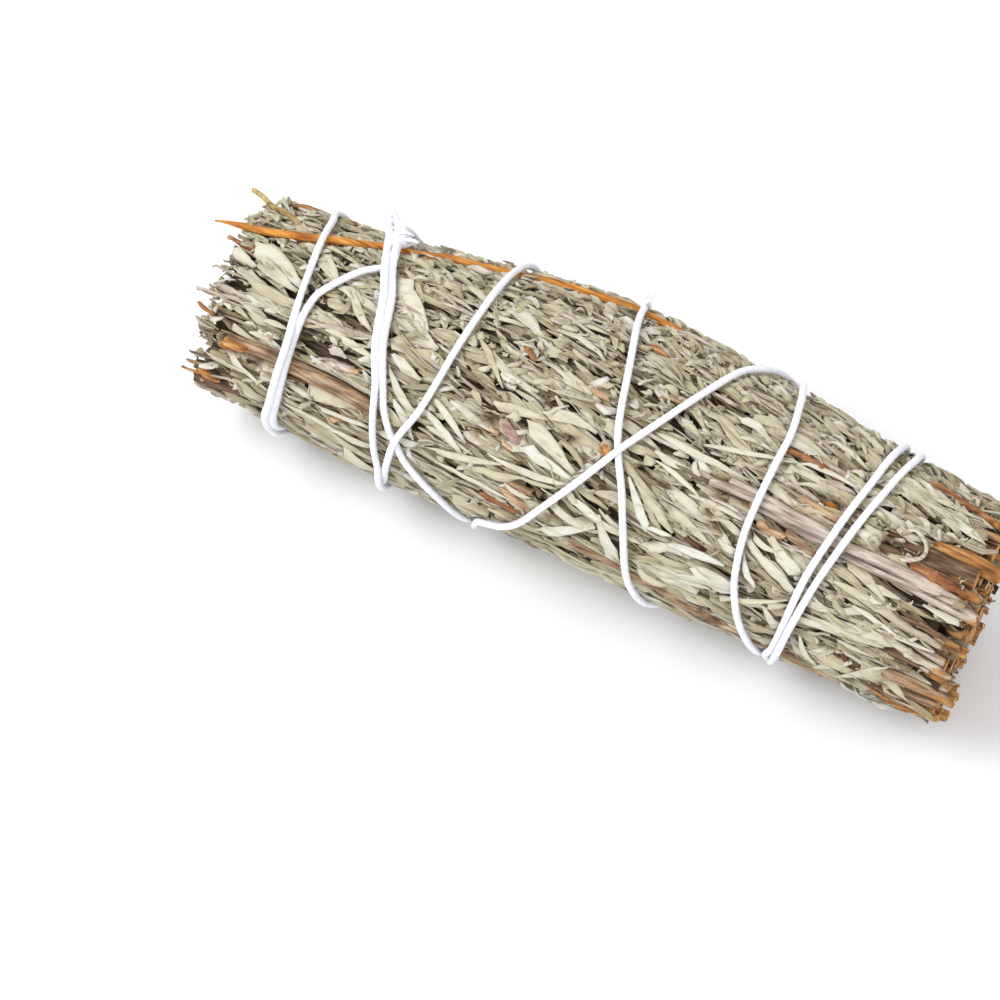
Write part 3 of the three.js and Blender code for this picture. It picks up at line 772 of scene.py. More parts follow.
def leafRings(kind, length, half, widest, curl, fold, twist, bow, sway, tooth, rng):
    rings = []
    count = kind["rings"]
    jitter = rng.normal(0, kind["crinkle"], (count + 1, 3))
    for i in range(count + 1):
        t = i / count
        quarter = math.pi / 2 * (t / widest if t < widest else (1 - t) / (1 - widest))
        width = half * max(kind["blunt"], math.sin(quarter) ** leafForm["round"])
        centre = np.array([length * t, sway * math.sin(math.pi * t), bow * math.sin(math.pi * t)])
        centre[1:] += jitter[i, 1:] * (leafForm["rootCrinkle"] + t)
        turn = twist * (t - leafForm["twistAt"])
        if kind["across"]:
            s = np.linspace(-1, 1, kind["across"])
            bend = curl * (leafForm["rootCurl"] + leafForm["tipCurl"] * t)
            side = width * np.sin(s * bend) / bend
            up = width * (1 - np.cos(s * bend)) / bend + fold * np.abs(s) * width
            normal = np.stack([-np.sin(s * bend), np.cos(s * bend)])
            thick = kind["thick"] * (1 - leafForm["thinRim"] * np.abs(s))
            top = np.stack([side, up])
            under = top - normal * thick
            outline = np.concatenate([top, under[:, ::-1]], axis=1)
            across = np.concatenate([s, s[::-1]])
        else:
            turns = np.arange(4) * math.pi / 2
            outline = np.stack([np.cos(turns), np.sin(turns)]) * half * (1 - leafForm["stalkTaper"] * t)
            outline *= 1 + rng.normal(0, leafForm["stalkUneven"])
            across = np.full(4, 0.5)
        y = outline[0] * math.cos(turn) - outline[1] * math.sin(turn)
        z = outline[0] * math.sin(turn) + outline[1] * math.cos(turn)
        lobes = tooth * np.cos(3 * math.pi * across) * (i == count)
        ring = np.stack([lobes, y, z], axis=1) + centre
        rings.append((ring, across))
    return rings


# A ring holds its points and how far across the leaf each of them lies.
def closedTube(name, rings):
    sides = len(rings[0][0])
    points = np.concatenate([ring[0] for ring in rings]) * mm
    faces = []
    for i in range(len(rings) - 1):
        for j in range(sides):
            a, b = i * sides + j, i * sides + (j + 1) % sides
            faces.append((a, b, b + sides, a + sides))
    last = (len(rings) - 1) * sides
    faces.append(tuple(range(sides - 1, -1, -1)))
    faces.append(tuple(range(last, last + sides)))
    mesh = bpy.data.meshes.new(name)
    mesh.from_pydata(points.tolist(), [], faces)
    setAttribute(mesh, "across", np.concatenate([ring[1] for ring in rings]))
    form = bmesh.new()
    form.from_mesh(mesh)
    bmesh.ops.recalc_face_normals(form, faces=form.faces)
    form.to_mesh(mesh)
    form.free()
    smoothFaces(mesh)
    return mesh


def makeLeafShapes():
    collections = {}
    for kindName, kind in leafKinds.items():
        rng = np.random.default_rng(kind["seed"])
        shapes = bpy.data.collections.new(kindName + "_shapes")
        for i in range(kind["shapes"]):
            pick = {key: rng.uniform(*kind[key]) for key in leafDraws}
            pick["curl"] = max(pick["curl"], 0.05)
            rings = leafRings(kind, **pick, rng=rng)
            name = "%s_%02d" % (kindName, i)
            shapes.objects.link(bpy.data.objects.new(name, closedTube(name, rings)))
        collections[kindName] = shapes
    return collections


leafShapes = makeLeafShapes()


def makeCoverTree():
    tree = Tree("strewn_leaves", "Leaves", (
        ("Strip", "Geometry"), ("Shapes", "Collection"), ("Leaf Count Density", "Float", 1e5),
        ("Seed", "Int", 1), ("Turn From", "Vector"), ("Turn To", "Vector"),
        ("Size From", "Float", 0.8), ("Size To", "Float", 1.2),
        ("Height From", "Float"), ("Height To", "Float"), ("Tone From", "Float"), ("Tone To", "Float", 1.0),
        ("Clearing", "Float", 0.3), ("Combing", "Float", 0.5), ("Patch Place", "Float", 0.0),
        ("Material", "Material"),
    ))
    given = tree.given

    def between(kind, offset, label):
        return tree.draw(kind, offset, given[label + " From"], given[label + " To"])

    # Bare patches, and locks of leaves that are combed one way.
    def patches(scale, stretch):
        place = tree.vector("ADD", tree.node("GeometryNodeInputPosition"), given["Patch Place"])
        squashed = tree.vector("MULTIPLY", place, stretch)
        return tree.node("ShaderNodeTexNoise", {"Vector": squashed, "Scale": scale, "Detail": 1.0})

    points = tree.node("GeometryNodeDistributePointsOnFaces", {
        "Mesh": given["Strip"], "Density": given["Leaf Count Density"], "Seed": given["Seed"],
    }, distribute_method="RANDOM")
    bare = tree.compare("LESS_THAN", patches(260.0, (0.5, 1, 1)), given["Clearing"])
    kept = tree.node("GeometryNodeDeleteGeometry", {"Geometry": points, "Selection": bare},
                     domain="POINT")
    swing = tree.math("MULTIPLY", tree.math("SUBTRACT", patches(130.0, (0.6, 1, 1)), 0.5),
                      given["Combing"])
    turn = tree.vector("ADD", between("FLOAT_VECTOR", 23, "Turn"),
                       tree.node("ShaderNodeCombineXYZ", {"Z": swing}))
    leaves = tree.strew(kept, tree.givenShapes(), turn, between("FLOAT", 37, "Size"),
                        tree.draw("INT", 11, 0, 1000))
    lift = tree.node("ShaderNodeCombineXYZ", {"Z": between("FLOAT", 41, "Height")})
    lifted = tree.node("GeometryNodeTranslateInstances", {
        "Instances": leaves, "Translation": lift, "Local Space": False,
    })
    toned = tree.store(lifted, "leafTone", between("FLOAT", 53, "Tone"), "INSTANCE")
    return tree.finish(tree.paint(tree.realize(toned)))


coverTree = makeCoverTree()


def stripMesh(length, width, middle=0.0):
    x0, x1, y = (middle - length / 2) * mm, (middle + length / 2) * mm, width / 2 * mm
    mesh = bpy.data.meshes.new("strip")
    mesh.from_pydata([(x0, -y, 0), (x1, -y, 0), (x1, y, 0), (x0, y, 0)], [], [(0, 1, 2, 3)])
    return mesh


# Layers of a leafy sprig from the inside out. perSquare is leaves per square millimetre of strip, in
# front and on top; turns are (roll, pitch, yaw) in degrees, and a leaf turned by 180 points at the
# tips. Where the patch noise is under "clearing" a layer stays bare.
layerColumns = ("kind", "perSquare", "roll", "pitch", "yaw", "size", "height", "tone", "clearing")
coverLayers = table(layerColumns, [
    ("stalk", (0.1, 0.08), (-180, 180), (-2, 2), (160, 182), (0.9, 1.4), (-2.9, -1.6), (0.02, 0.25), 0.0),
    ("sliver", (0.12, 0.14), (-90, 90), (-3, 3), (155, 184), (0.9, 1.3), (-2.9, -1.9), (0.02, 0.5), 0.0),
    ("blade", (0.1, 0.06), (-50, 50), (-3, 3), (155, 184), (0.8, 1.2), (-2.4, -1.6), (0.1, 0.75), 0.3),
    ("ribbon", (0.045, 0.0), (-45, 45), (-1.5, 1.5), (160, 182), (0.8, 1.1), (-2.0, -1.2), (0.2, 0.72),
     0.35),
    ("sliver", (0.12, 0.12), (-80, 80), (-3, 4), (154, 184), (0.8, 1.2), (-1.9, -1.0), (0.2, 0.78), 0.4),
    ("blade", (0.11, 0.05), (-35, 35), (-2, 3), (153, 184), (0.75, 1.15), (-1.7, -0.9), (0.3, 0.8), 0.4),
    ("wedge", (0.024, 0.006), (-30, 30), (-2, 3), (150, 190), (0.65, 1.05), (-1.5, -0.8), (0.4, 0.78),
     0.4),
    ("ribbon", (0.025, 0.0), (-40, 40), (-1.5, 1.5), (158, 184), (0.7, 1.0), (-1.4, -0.8), (0.3, 0.8),
     0.45),
    ("crumb", (0.08, 0.8), (-180, 180), (-25, 25), (120, 240), (0.75, 1.3), (-1.7, -0.7), (0.25, 0.88),
     0.3),
    ("sliver", (0.05, 0.07), (-50, 50), (-2, 4), (152, 188), (0.6, 1.0), (-1.2, -0.7), (0.4, 0.84), 0.45),
    ("stalk", (0.022, 0.035), (-180, 180), (-2, 2), (158, 182), (0.5, 1.0), (-1.4, -0.7), (0.94, 1.0),
     0.35),
    ("stalk", (0.014, 0.014), (-180, 180), (-2, 2), (158, 182), (0.5, 1.0), (-1.3, -0.8), (0.05, 0.25),
     0.35),
])
# How far along the bundle each kind of leaf is strewn.
coverReach = {
    "stalk": (-40, 53.0), "sliver": (-44.5, 51.2), "blade": (-43.5, 50.2), "ribbon": (-38, 51),
    "wedge": (-45, 49.5), "crumb": (-50.0, 51.5),
}
seamOverlap = 0.6
combing = 1.1
# How far each sprig lies on top, where the leaves are broken small.
crumbled = [0.0, 0.25, 0.7, 1.0, 1.0, 0.6, 0.5, 0.5, 0.3, 0.0]


def strewnMesh(name, strip, layer, perSquare, seed, patchPlace=0.0):
    turns = [layer[key] for key in ("roll", "pitch", "yaw")]
    values = {
        "Shapes": leafShapes[layer["kind"]], "Leaf Count Density": perSquare * 1e6, "Seed": seed,
        "Turn From": [math.radians(low) for low, high in turns],
        "Turn To": [math.radians(high) for low, high in turns],
        "Clearing": layer["clearing"], "Combing": layer.get("combing", combing),
        "Patch Place": patchPlace, "Material": looks["leaf"],
    }
    for key, unit in (("size", 1), ("height", mm), ("tone", 1)):
        low, high = layer.get(key, (0, 0))
        values[key.title() + " From"] = low * unit
        values[key.title() + " To"] = high * unit
    return grown(name, strip, coverTree, values)


def wrapLeaves(mesh, sprig=None):
    flat = vertexArray(mesh) / mm
    x = withinEnds(flat[:, 0])
    middle = 0 if sprig is None else (seamAngle(sprig, x) + seamAngle(sprig + 1, x)) / 2
    angle = middle + np.degrees(flat[:, 1] / bundle["bellyRadius"])
    height = underCeiling(x, angle, flat[:, 2])
    places = onBundle(x, angle, height)
    places[:, 2] = aboveFloor(places[:, 2])
    setAttribute(mesh, "height", height)
    setVertices(mesh, places * mm)


# The matted inside of a sprig; its near-black colour is painted shade, dark between the leaves.
sprigCore = {"from": -48.5, "to": 50.0, "rings": 70, "across": 9, "top": -2.5, "rough": 0.12, "inner": -0.5,
             "under": 0.05, "lowest": 0.06, "shadedAs": -3.0}


def makeSprigCore(sprig):
    across = np.linspace(0, 1, sprigCore["across"])
    rings = []
    rng = np.random.default_rng(300 + sprig)
    for x in np.linspace(sprigCore["from"], sprigCore["to"], sprigCore["rings"]):
        low, high = seamAngle(sprig, x), seamAngle(sprig + 1, x)
        angles = low + (high - low) * across
        bumps = rng.normal(0, sprigCore["rough"], len(angles))
        height = underCeiling(np.full(len(angles), x), angles, sprigCore["top"] + bumps)
        outer = onBundle(x, angles, height - sprigCore["under"])
        outer[:, 2] = np.maximum(outer[:, 2], sprigCore["lowest"])
        back = angles[::-4]
        inner = onBundle(x, back, sprigCore["inner"] * leafRadius(x, back))
        points = np.concatenate([outer, inner])
        rings.append((points, np.zeros(len(points))))
    mesh = closedTube("core", rings)
    mesh.materials.append(looks["core"])
    setAttribute(mesh, "leafTone", np.zeros(len(mesh.vertices)))
    setAttribute(mesh, "height", np.full(len(mesh.vertices), sprigCore["shadedAs"]))
    return mesh


def makeLeafySprig(sprig):
    width = math.radians(360 / bundle["sprigs"]) * bundle["bellyRadius"] + seamOverlap
    meshes = []
    for i, layer in enumerate(coverLayers):
        x0, x1 = coverReach[layer["kind"]]
        strip = stripMesh(x1 - x0, width, (x0 + x1) / 2)
        amount = np.interp(crumbled[sprig], (0, 1), layer["perSquare"])
        meshes.append(strewnMesh("layer", strip, layer, amount, 1000 + 97 * sprig + 13 * i, 0.1 * sprig))
    obj = joined("leaves_of_sprig_%02d" % (sprig + 1), meshes)
    wrapLeaves(obj.data, sprig)
    joinInto(obj, [linked("core", makeSprigCore(sprig))])
    handOver(obj, "leaf", "leafy_sprig_%02d" % (sprig + 1))
    return obj


leafySprigs = [makeLeafySprig(sprig) for sprig in range(bundle["sprigs"])]
print("leafy sprigs: %d faces" % sum(len(o.data.polygons) for o in leafySprigs))

# Broad leaves, set one by one: root (x, angle), tip (x, angle), width, tone, height.
broadLeaves = {
    "blade": [
        (37.2, 76, 42.0, 75, 1.2, 0.6, -0.1), (-26.0, 116, -29.4, 123, 1.3, 0.62, 0.5),
        (-12.6, 126, -15.8, 131, 1.2, 0.66, 0.5), (-8.4, 129, -11.0, 133, 1.0, 0.55, 0.45),
        (-2.0, 56, -9.2, 54, 1.5, 0.6, -0.3), (2.8, 30, 8.4, 24, 1.2, 0.78, -0.2),
        (-11.0, 32, -16.8, 46, 1.2, 0.7, -0.2), (-7.4, 42, -14.4, 48, 1.1, 0.72, -0.25),
        (-9.6, 28, -16.4, 32, 1.0, 0.66, -0.3), (4.8, 42, 0.4, 50, 0.9, 0.3, -0.2),
        (-1.0, 20, -4.8, 22, 0.9, 0.6, -0.3), (3.6, 18, 0.0, 27, 1.2, 0.62, -0.3),
        (5.8, 56, 5.4, 48, 1.2, 0.66, -0.4), (-2.8, -28, -5.6, -28, 0.9, 0.5, -0.4),
        (9.8, 48, 14.0, 29, 1.3, 0.8, -0.2), (13.2, 30, 17.0, 32, 0.8, 0.76, -0.2),
        (11.8, 44, 15.6, 32, 1.0, 0.3, -0.35), (24.2, 29, 16.8, 28, 1.6, 0.86, -0.1),
        (26.6, 19, 18.8, 14, 1.3, 0.74, -0.2), (27.2, 12, 32.8, 24, 1.3, 0.62, -0.3),
        (25.6, 40, 28.6, 26, 1.1, 0.8, -0.2), (25.0, 51, 29.6, 46, 1.2, 0.68, -0.3),
        (21.6, 48, 25.0, 46, 1.2, 0.64, -0.3), (22.4, 40, 25.6, 38, 1.2, 0.72, -0.25),
        (17.2, 52, 24.8, 52, 0.8, 0.7, -0.2), (22.0, 18, 15.6, 14, 1.2, 0.6, -0.4),
        (35.2, 11, 38.2, -8, 1.1, 0.68, -0.3), (37.2, 14, 40.2, -4, 1.0, 0.62, -0.3),
        (35.6, 54, 31.0, 60, 1.2, 0.6, -0.3), (-30.2, 76, -34.2, 79, 1.4, 0.6, -0.4),
        (-25.6, 24, -28.6, 26, 0.9, 0.84, -0.2), (-40.4, 35, -47.2, 32, 1.1, 0.66, -0.4),
        (-25.2, 52, -31.0, 57, 1.2, 0.66, -0.3), (-29.6, 56, -33.2, 57, 1.0, 0.6, -0.4),
        (-17.8, 22, -21.6, 38, 1.2, 0.76, -0.3), (-19.0, 51, -23.6, 58, 1.5, 0.72, -0.3),
        (-38.0, 50, -41.6, 50, 1.1, 0.7, -0.3), (-37.8, 98, -41.4, 98, 1.6, 0.7, -0.4),
        (-8.8, 61, -14.2, 78, 1.0, 0.42, -0.4), (-7.0, 66, -9.8, 67, 1.3, 0.84, -0.4),
        (23.0, 70, 10.4, 70, 1.1, 0.68, -0.4), (27.8, 88, 16.0, 74, 0.8, 0.7, -0.4),
        (21.2, 83, 16.8, 90, 1.1, 0.62, -0.5), (33.0, 32, 27.6, 41, 1.4, 0.64, -0.4),
        (34.0, 42, 27.8, 50, 1.4, 0.6, -0.3), (16.2, 62, 11.4, 63, 1.2, 0.7, -0.5),
        (46.6, 40, 37.0, 46, 1.4, 0.52, -0.4), (45.2, 26, 34.6, 24, 1.4, 0.6, -0.3),
        (44.6, 18, 36.0, 15, 1.2, 0.62, -0.4), (47.6, 100, 39.4, 104, 1.4, 0.68, -0.4),
        (47.6, 54, 52.8, 52, 1.2, 0.74, -0.3), (45.0, 52, 41.2, 53, 1.1, 0.7, -0.4),
        (35.2, 102, 29.4, 107, 1.1, 0.66, -0.4), (35.6, 90, 27.6, 88, 1.0, 0.74, -0.4),
        (49.8, 110, 42.8, 107, 1.1, 0.62, -0.5), (42.2, 8, 37.6, -12, 1.1, 0.66, -0.3),
        (46.8, 34, 40.0, 39, 1.0, 0.7, -0.5),
    ],
    "ribbon": [
        (-5.6, 30, -17.2, 20, 1.1, 0.62, -0.25), (3.4, 34, -7.8, 32, 1.1, 0.68, -0.2),
        (2.0, 30, -10.8, 20, 1.4, 0.46, -0.35), (-3.6, 14, -14.4, 16, 1.1, 0.72, -0.2),
        (-7.8, 2, -14.8, 8, 1.0, 0.55, -0.35), (-10.8, 26, -18.2, 41, 1.4, 0.76, -0.25),
        (13.8, 22, 4.0, 28, 1.0, 0.58, -0.35), (14.8, -6, 0.8, -5, 1.0, 0.42, -0.4),
        (10.0, 50, 17.0, 33, 1.5, 0.52, -0.3), (10.6, 54, 24.8, 38, 1.9, 0.66, -0.2),
        (13.4, 44, 22.2, 35, 1.1, 0.56, -0.3), (32.6, 27, 22.2, 8, 1.2, 0.58, -0.2),
        (26.6, 42, 33.6, 32, 1.5, 0.68, -0.2), (12.0, 59, 19.0, 52, 0.8, 0.72, -0.2),
        (40.0, 22, 33.6, 19, 1.3, 0.66, -0.2), (38.4, 33, 31.2, 33, 1.2, 0.6, -0.3),
        (-27.4, 64, -32.6, 82, 1.3, 0.62, -0.4), (-24.0, 18, -37.2, 15, 0.9, 0.76, -0.2),
        (-26.6, 4, -36.4, 8, 1.3, 0.6, -0.3), (-22.6, 7, -29.4, 6, 1.3, 0.66, -0.3),
        (-38.4, 11, -47.2, 26, 1.2, 0.7, -0.2), (-41.4, 17, -48.4, 19, 1.1, 0.6, -0.3),
        (-23.2, 86, -28.0, 102, 1.0, 0.5, -0.4), (-17.4, 34, -23.4, 51, 1.4, 0.66, -0.3),
    ],
    "wedge": [
        (36.4, 73, 41.2, 69.5, 1.7, 0.68, -0.1), (3.4, 40, -4.4, 53, 2.2, 0.66, -0.15),
        (3.8, 36, -4.4, 42, 1.9, 0.8, -0.2), (4.2, 59, -3.2, 58, 1.8, 0.66, -0.2),
        (7.8, 21, 0.0, 2, 1.6, 0.74, -0.15), (7.8, 27, 11.6, 4, 2.4, 0.72, -0.2),
        (26.6, 21, 20.2, 21, 2.1, 0.72, -0.2), (30.0, 18, 32.8, 6, 1.4, 0.64, -0.3),
        (28.2, 52, 33.6, 40, 2.2, 0.72, -0.2), (20.0, 25, 13.8, 22, 1.8, 0.66, -0.4),
        (-38.4, 73, -47.2, 88, 3.4, 0.72, -0.2), (-38.8, 70, -46.2, 80, 2.2, 0.64, -0.3),
        (-45.4, 75, -50.0, 80, 1.9, 0.7, -0.3), (-20.8, 72, -28.6, 97, 3.2, 0.72, -0.2),
        (-34.0, 80, -39.0, 96, 2.2, 0.6, -0.4), (-29.2, 48, -32.0, 49, 1.4, 0.96, -0.25),
        (1.6, 73, -3.2, 77, 1.6, 0.55, -0.3), (23.4, 90, 18.4, 94, 1.7, 0.8, -0.3),
        (43.4, 48, 36.8, 58, 1.7, 0.56, -0.3), (40.6, -9, 46.6, 17, 1.7, 0.66, -0.1),
        (39.4, 108, 51.6, 94, 1.6, 0.72, -0.3),
    ],
}
setLeaf = {"sunk": 0.25, "roll": 12, "thick": 0.7}


def makeSetTree():
    tree = Tree("leaves_set_one_by_one", "Leaves", (
        ("Places", "Geometry"), ("Shapes", "Collection"), ("Material", "Material"),
    ))

    def stored(name, kind):
        return tree.node("GeometryNodeInputNamedAttribute", {"Name": name},
                         data_type=kind).outputs["Attribute"]

    points = tree.node("GeometryNodeMeshToPoints", {"Mesh": tree.given["Places"], "Radius": 0.0001})
    leaves = tree.strew(points, tree.givenShapes(), stored("turn", "FLOAT_VECTOR"),
                        stored("size", "FLOAT_VECTOR"), stored("pick", "INT"))
    return tree.finish(tree.paint(tree.realize(leaves)))


setTree = makeSetTree()


def setLeaves(kind, rows, rng):
    shapes = list(leafShapes[kind].objects)
    perDegree = math.radians(1) * bundle["bellyRadius"]
    places, turns, sizes, picks, tones = [], [], [], [], []
    for rootX, rootAngle, tipX, tipAngle, width, tone, height in rows:
        pick = int(rng.integers(len(shapes)))
        shape = vertexArray(shapes[pick].data) / mm
        spanned = shape.max(axis=0) - shape.min(axis=0)
        along, aside = tipX - rootX, (tipAngle - rootAngle) * perDegree
        places.append((rootX, rootAngle * perDegree, height - setLeaf["sunk"]))
        roll = math.radians(rng.uniform(-setLeaf["roll"], setLeaf["roll"]))
        turns.append((roll, 0, math.atan2(aside, along)))
        sizes.append((math.hypot(along, aside) / spanned[0], width / spanned[1],
                      setLeaf["thick"] * width / spanned[1]))
        picks.append(pick)
        tones.append(tone)
    mesh = bpy.data.meshes.new("places")
    mesh.from_pydata((np.array(places) * mm).tolist(), [], [])
    setAttribute(mesh, "turn", turns, "FLOAT_VECTOR")
    setAttribute(mesh, "size", sizes, "FLOAT_VECTOR")
    mesh.attributes.new("pick", "INT", "POINT").data.foreach_set("value", picks)
    setAttribute(mesh, "leafTone", tones)
    return grown("set", mesh, setTree, {"Shapes": leafShapes[kind], "Material": looks["leaf"]})


def makeBroadLeaves():
    rng = np.random.default_rng(77)
    obj = joined("broad_leaves", [setLeaves(kind, rows, rng) for kind, rows in broadLeaves.items()])
    wrapLeaves(obj.data)
    handOver(obj, "leaf")


makeBroadLeaves()
print("broad leaves: %d" % sum(len(rows) for rows in broadLeaves.values()))


def makeStemTree():
    tree = Tree("barked_stem", "Stem", (
        ("Path", "Geometry"), ("Sides", "Int", 14), ("Step", "Float", 0.0005),
        ("Groove Depth", "Float", 0.0001), ("Groove Scale", "Float", 1500.0),
        ("Lump Depth", "Float", 0.0001), ("Material", "Material"),
    ))
    given = tree.given
    path = tree.node("GeometryNodeResampleCurve", {"Curve": given["Path"], "Length": given["Step"]},
                     mode="LENGTH")
    place = tree.node("GeometryNodeInputPosition")
    grooves = tree.node("ShaderNodeTexNoise", {
        "Vector": tree.vector("MULTIPLY", place, (0.1, 1, 1)), "Scale": given["Groove Scale"],
        "Detail": 2.0,
    })
    lumps = tree.node("ShaderNodeTexNoise", {"Vector": place, "Scale": 330.0})
    depths = [
        tree.math("MULTIPLY", tree.math("SUBTRACT", noise, 0.5), given[label])
        for noise, label in ((grooves, "Groove Depth"), (lumps, "Lump Depth"))
    ]
    push = tree.vector("SCALE", tree.node("GeometryNodeInputNormal"), tree.math("ADD", *depths))
    stem = tree.moved(tree.tube(path, tree.ring()), push)
    return tree.finish(tree.paint(tree.realize(stem)))


stemTree = makeStemTree()


def pathCurve(name, lines, radii):
    curve = bpy.data.curves.new(name, "CURVE")
    curve.dimensions = "3D"
    for line, radius in zip(lines, radii):
        spline = curve.splines.new("POLY")
        spline.points.add(len(line) - 1)
        for point, place, size in zip(spline.points, line, np.broadcast_to(radius, len(line))):
            point.co = (*(np.asarray(place) * mm), 1)
            point.radius = size * mm
    return curve


# Cut or broken ends: the cap gets a centre, pushed a little in or out, and the wood inside.
def finishEnds(mesh, rng, rough=0.12, rim=0.22, rise=0.03):
    form = bmesh.new()
    form.from_mesh(mesh)
    pith = form.verts.layers.float.new("fromPith")
    caps = [face for face in form.faces if len(face.verts) > 4]
    for face in caps:
        for vert in face.verts:
            vert[pith] = 1.0
            vert.co += face.normal * rng.normal(0, rough) * mm
    made = bmesh.ops.inset_individual(form, faces=caps, thickness=rim * mm, depth=rise * mm)
    for face in caps + made["faces"]:
        face.material_index = 1
    for face in caps:
        for vert in face.verts:
            vert[pith] = 0.6
            vert.co += face.normal * rng.normal(0, rough) * mm
    poked = bmesh.ops.poke(form, faces=caps)
    for vert in poked["verts"]:
        vert[pith] = 0.0
        vert.co += Vector(rng.normal(0, rough, 3)) * mm
    for face in poked["faces"]:
        face.material_index = 1
    form.to_mesh(mesh)
    form.free()


# The height under the leaf tops, which the painted shade of bark and leaves reads.
def markHeight(mesh):
    places = vertexArray(mesh) / mm
    away = places - axisPoint(places[:, 0])
    angle = np.degrees(np.arctan2(away[:, 2], -away[:, 1]))
    setAttribute(mesh, "height", np.hypot(away[:, 1], away[:, 2]) - leafRadius(places[:, 0], angle))


def stemMesh(name, lines, radii, wood, seed, sides, step, groove, lump):
    mesh = grown(name, pathCurve(name, lines, radii), stemTree, {
        "Sides": sides, "Step": step * mm, "Groove Depth": groove * mm, "Lump Depth": lump * mm,
        "Material": looks[wood],
    })
    mesh.materials.append(looks["endGrain"])
    finishEnds(mesh, np.random.default_rng(seed))
    markHeight(mesh)
    smoothFaces(mesh)
    return mesh


def taper(count, start, pointed):
    sizes = np.linspace(start, 1.0, count)
    if pointed:
        sizes[:pointed] *= np.linspace(0.15, 1, pointed)
    return sizes


# Each axis of a line wanders smoothly by itself.
def wandering(rng, count, width):
    return np.stack([smoothed(rng.normal(0, 1, count), width) for _ in range(3)], axis=1)


# A thin strand has fewer sides and finer bark, and starts a little thinner: sides, groove, lump, start.
bark = {"thin": (10, 0.08, 0.1, 0.9), "thick": (16, 0.3, 0.3, 1.0), "thinUnder": 0.8, "step": 0.45,
        "wander": 0.25}


def makeBareStem(name, stem, seed):
    route = stemRoute(stem)
    rng = np.random.default_rng(seed)
    lines, sizes = [], []
    for aside, lift, share, start, end in stem.get("strands", [(0, 0, 1, 0, 1)]):
        kept = route[int(start * len(route)):int(end * len(route))]
        line = onBundle(kept[:, 0], kept[:, 1] + aside, kept[:, 2] + lift)
        line = line + wandering(rng, len(line), 15) * bark["wander"] * np.array([0, 1, 1])
        radius = stem["radius"] * share * stem.get("size", 1)
        sides, groove, lump, slim = bark["thin" if radius < bark["thinUnder"] else "thick"]
        lines.append(offFloor(line, radius))
        sizes.append(radius * taper(len(line), slim, stem.get("pointed", 0)))
    mesh = stemMesh(name + "_wood", lines, sizes, stem["wood"], seed, sides, bark["step"], groove, lump)
    handOver(linked(name + "_bark", mesh), stem["slot"], name)


for i, (name, stem) in enumerate(bareStems.items()):
    makeBareStem(name, stem, 700 + i)
print("bare stems: %d" % len(bareStems))

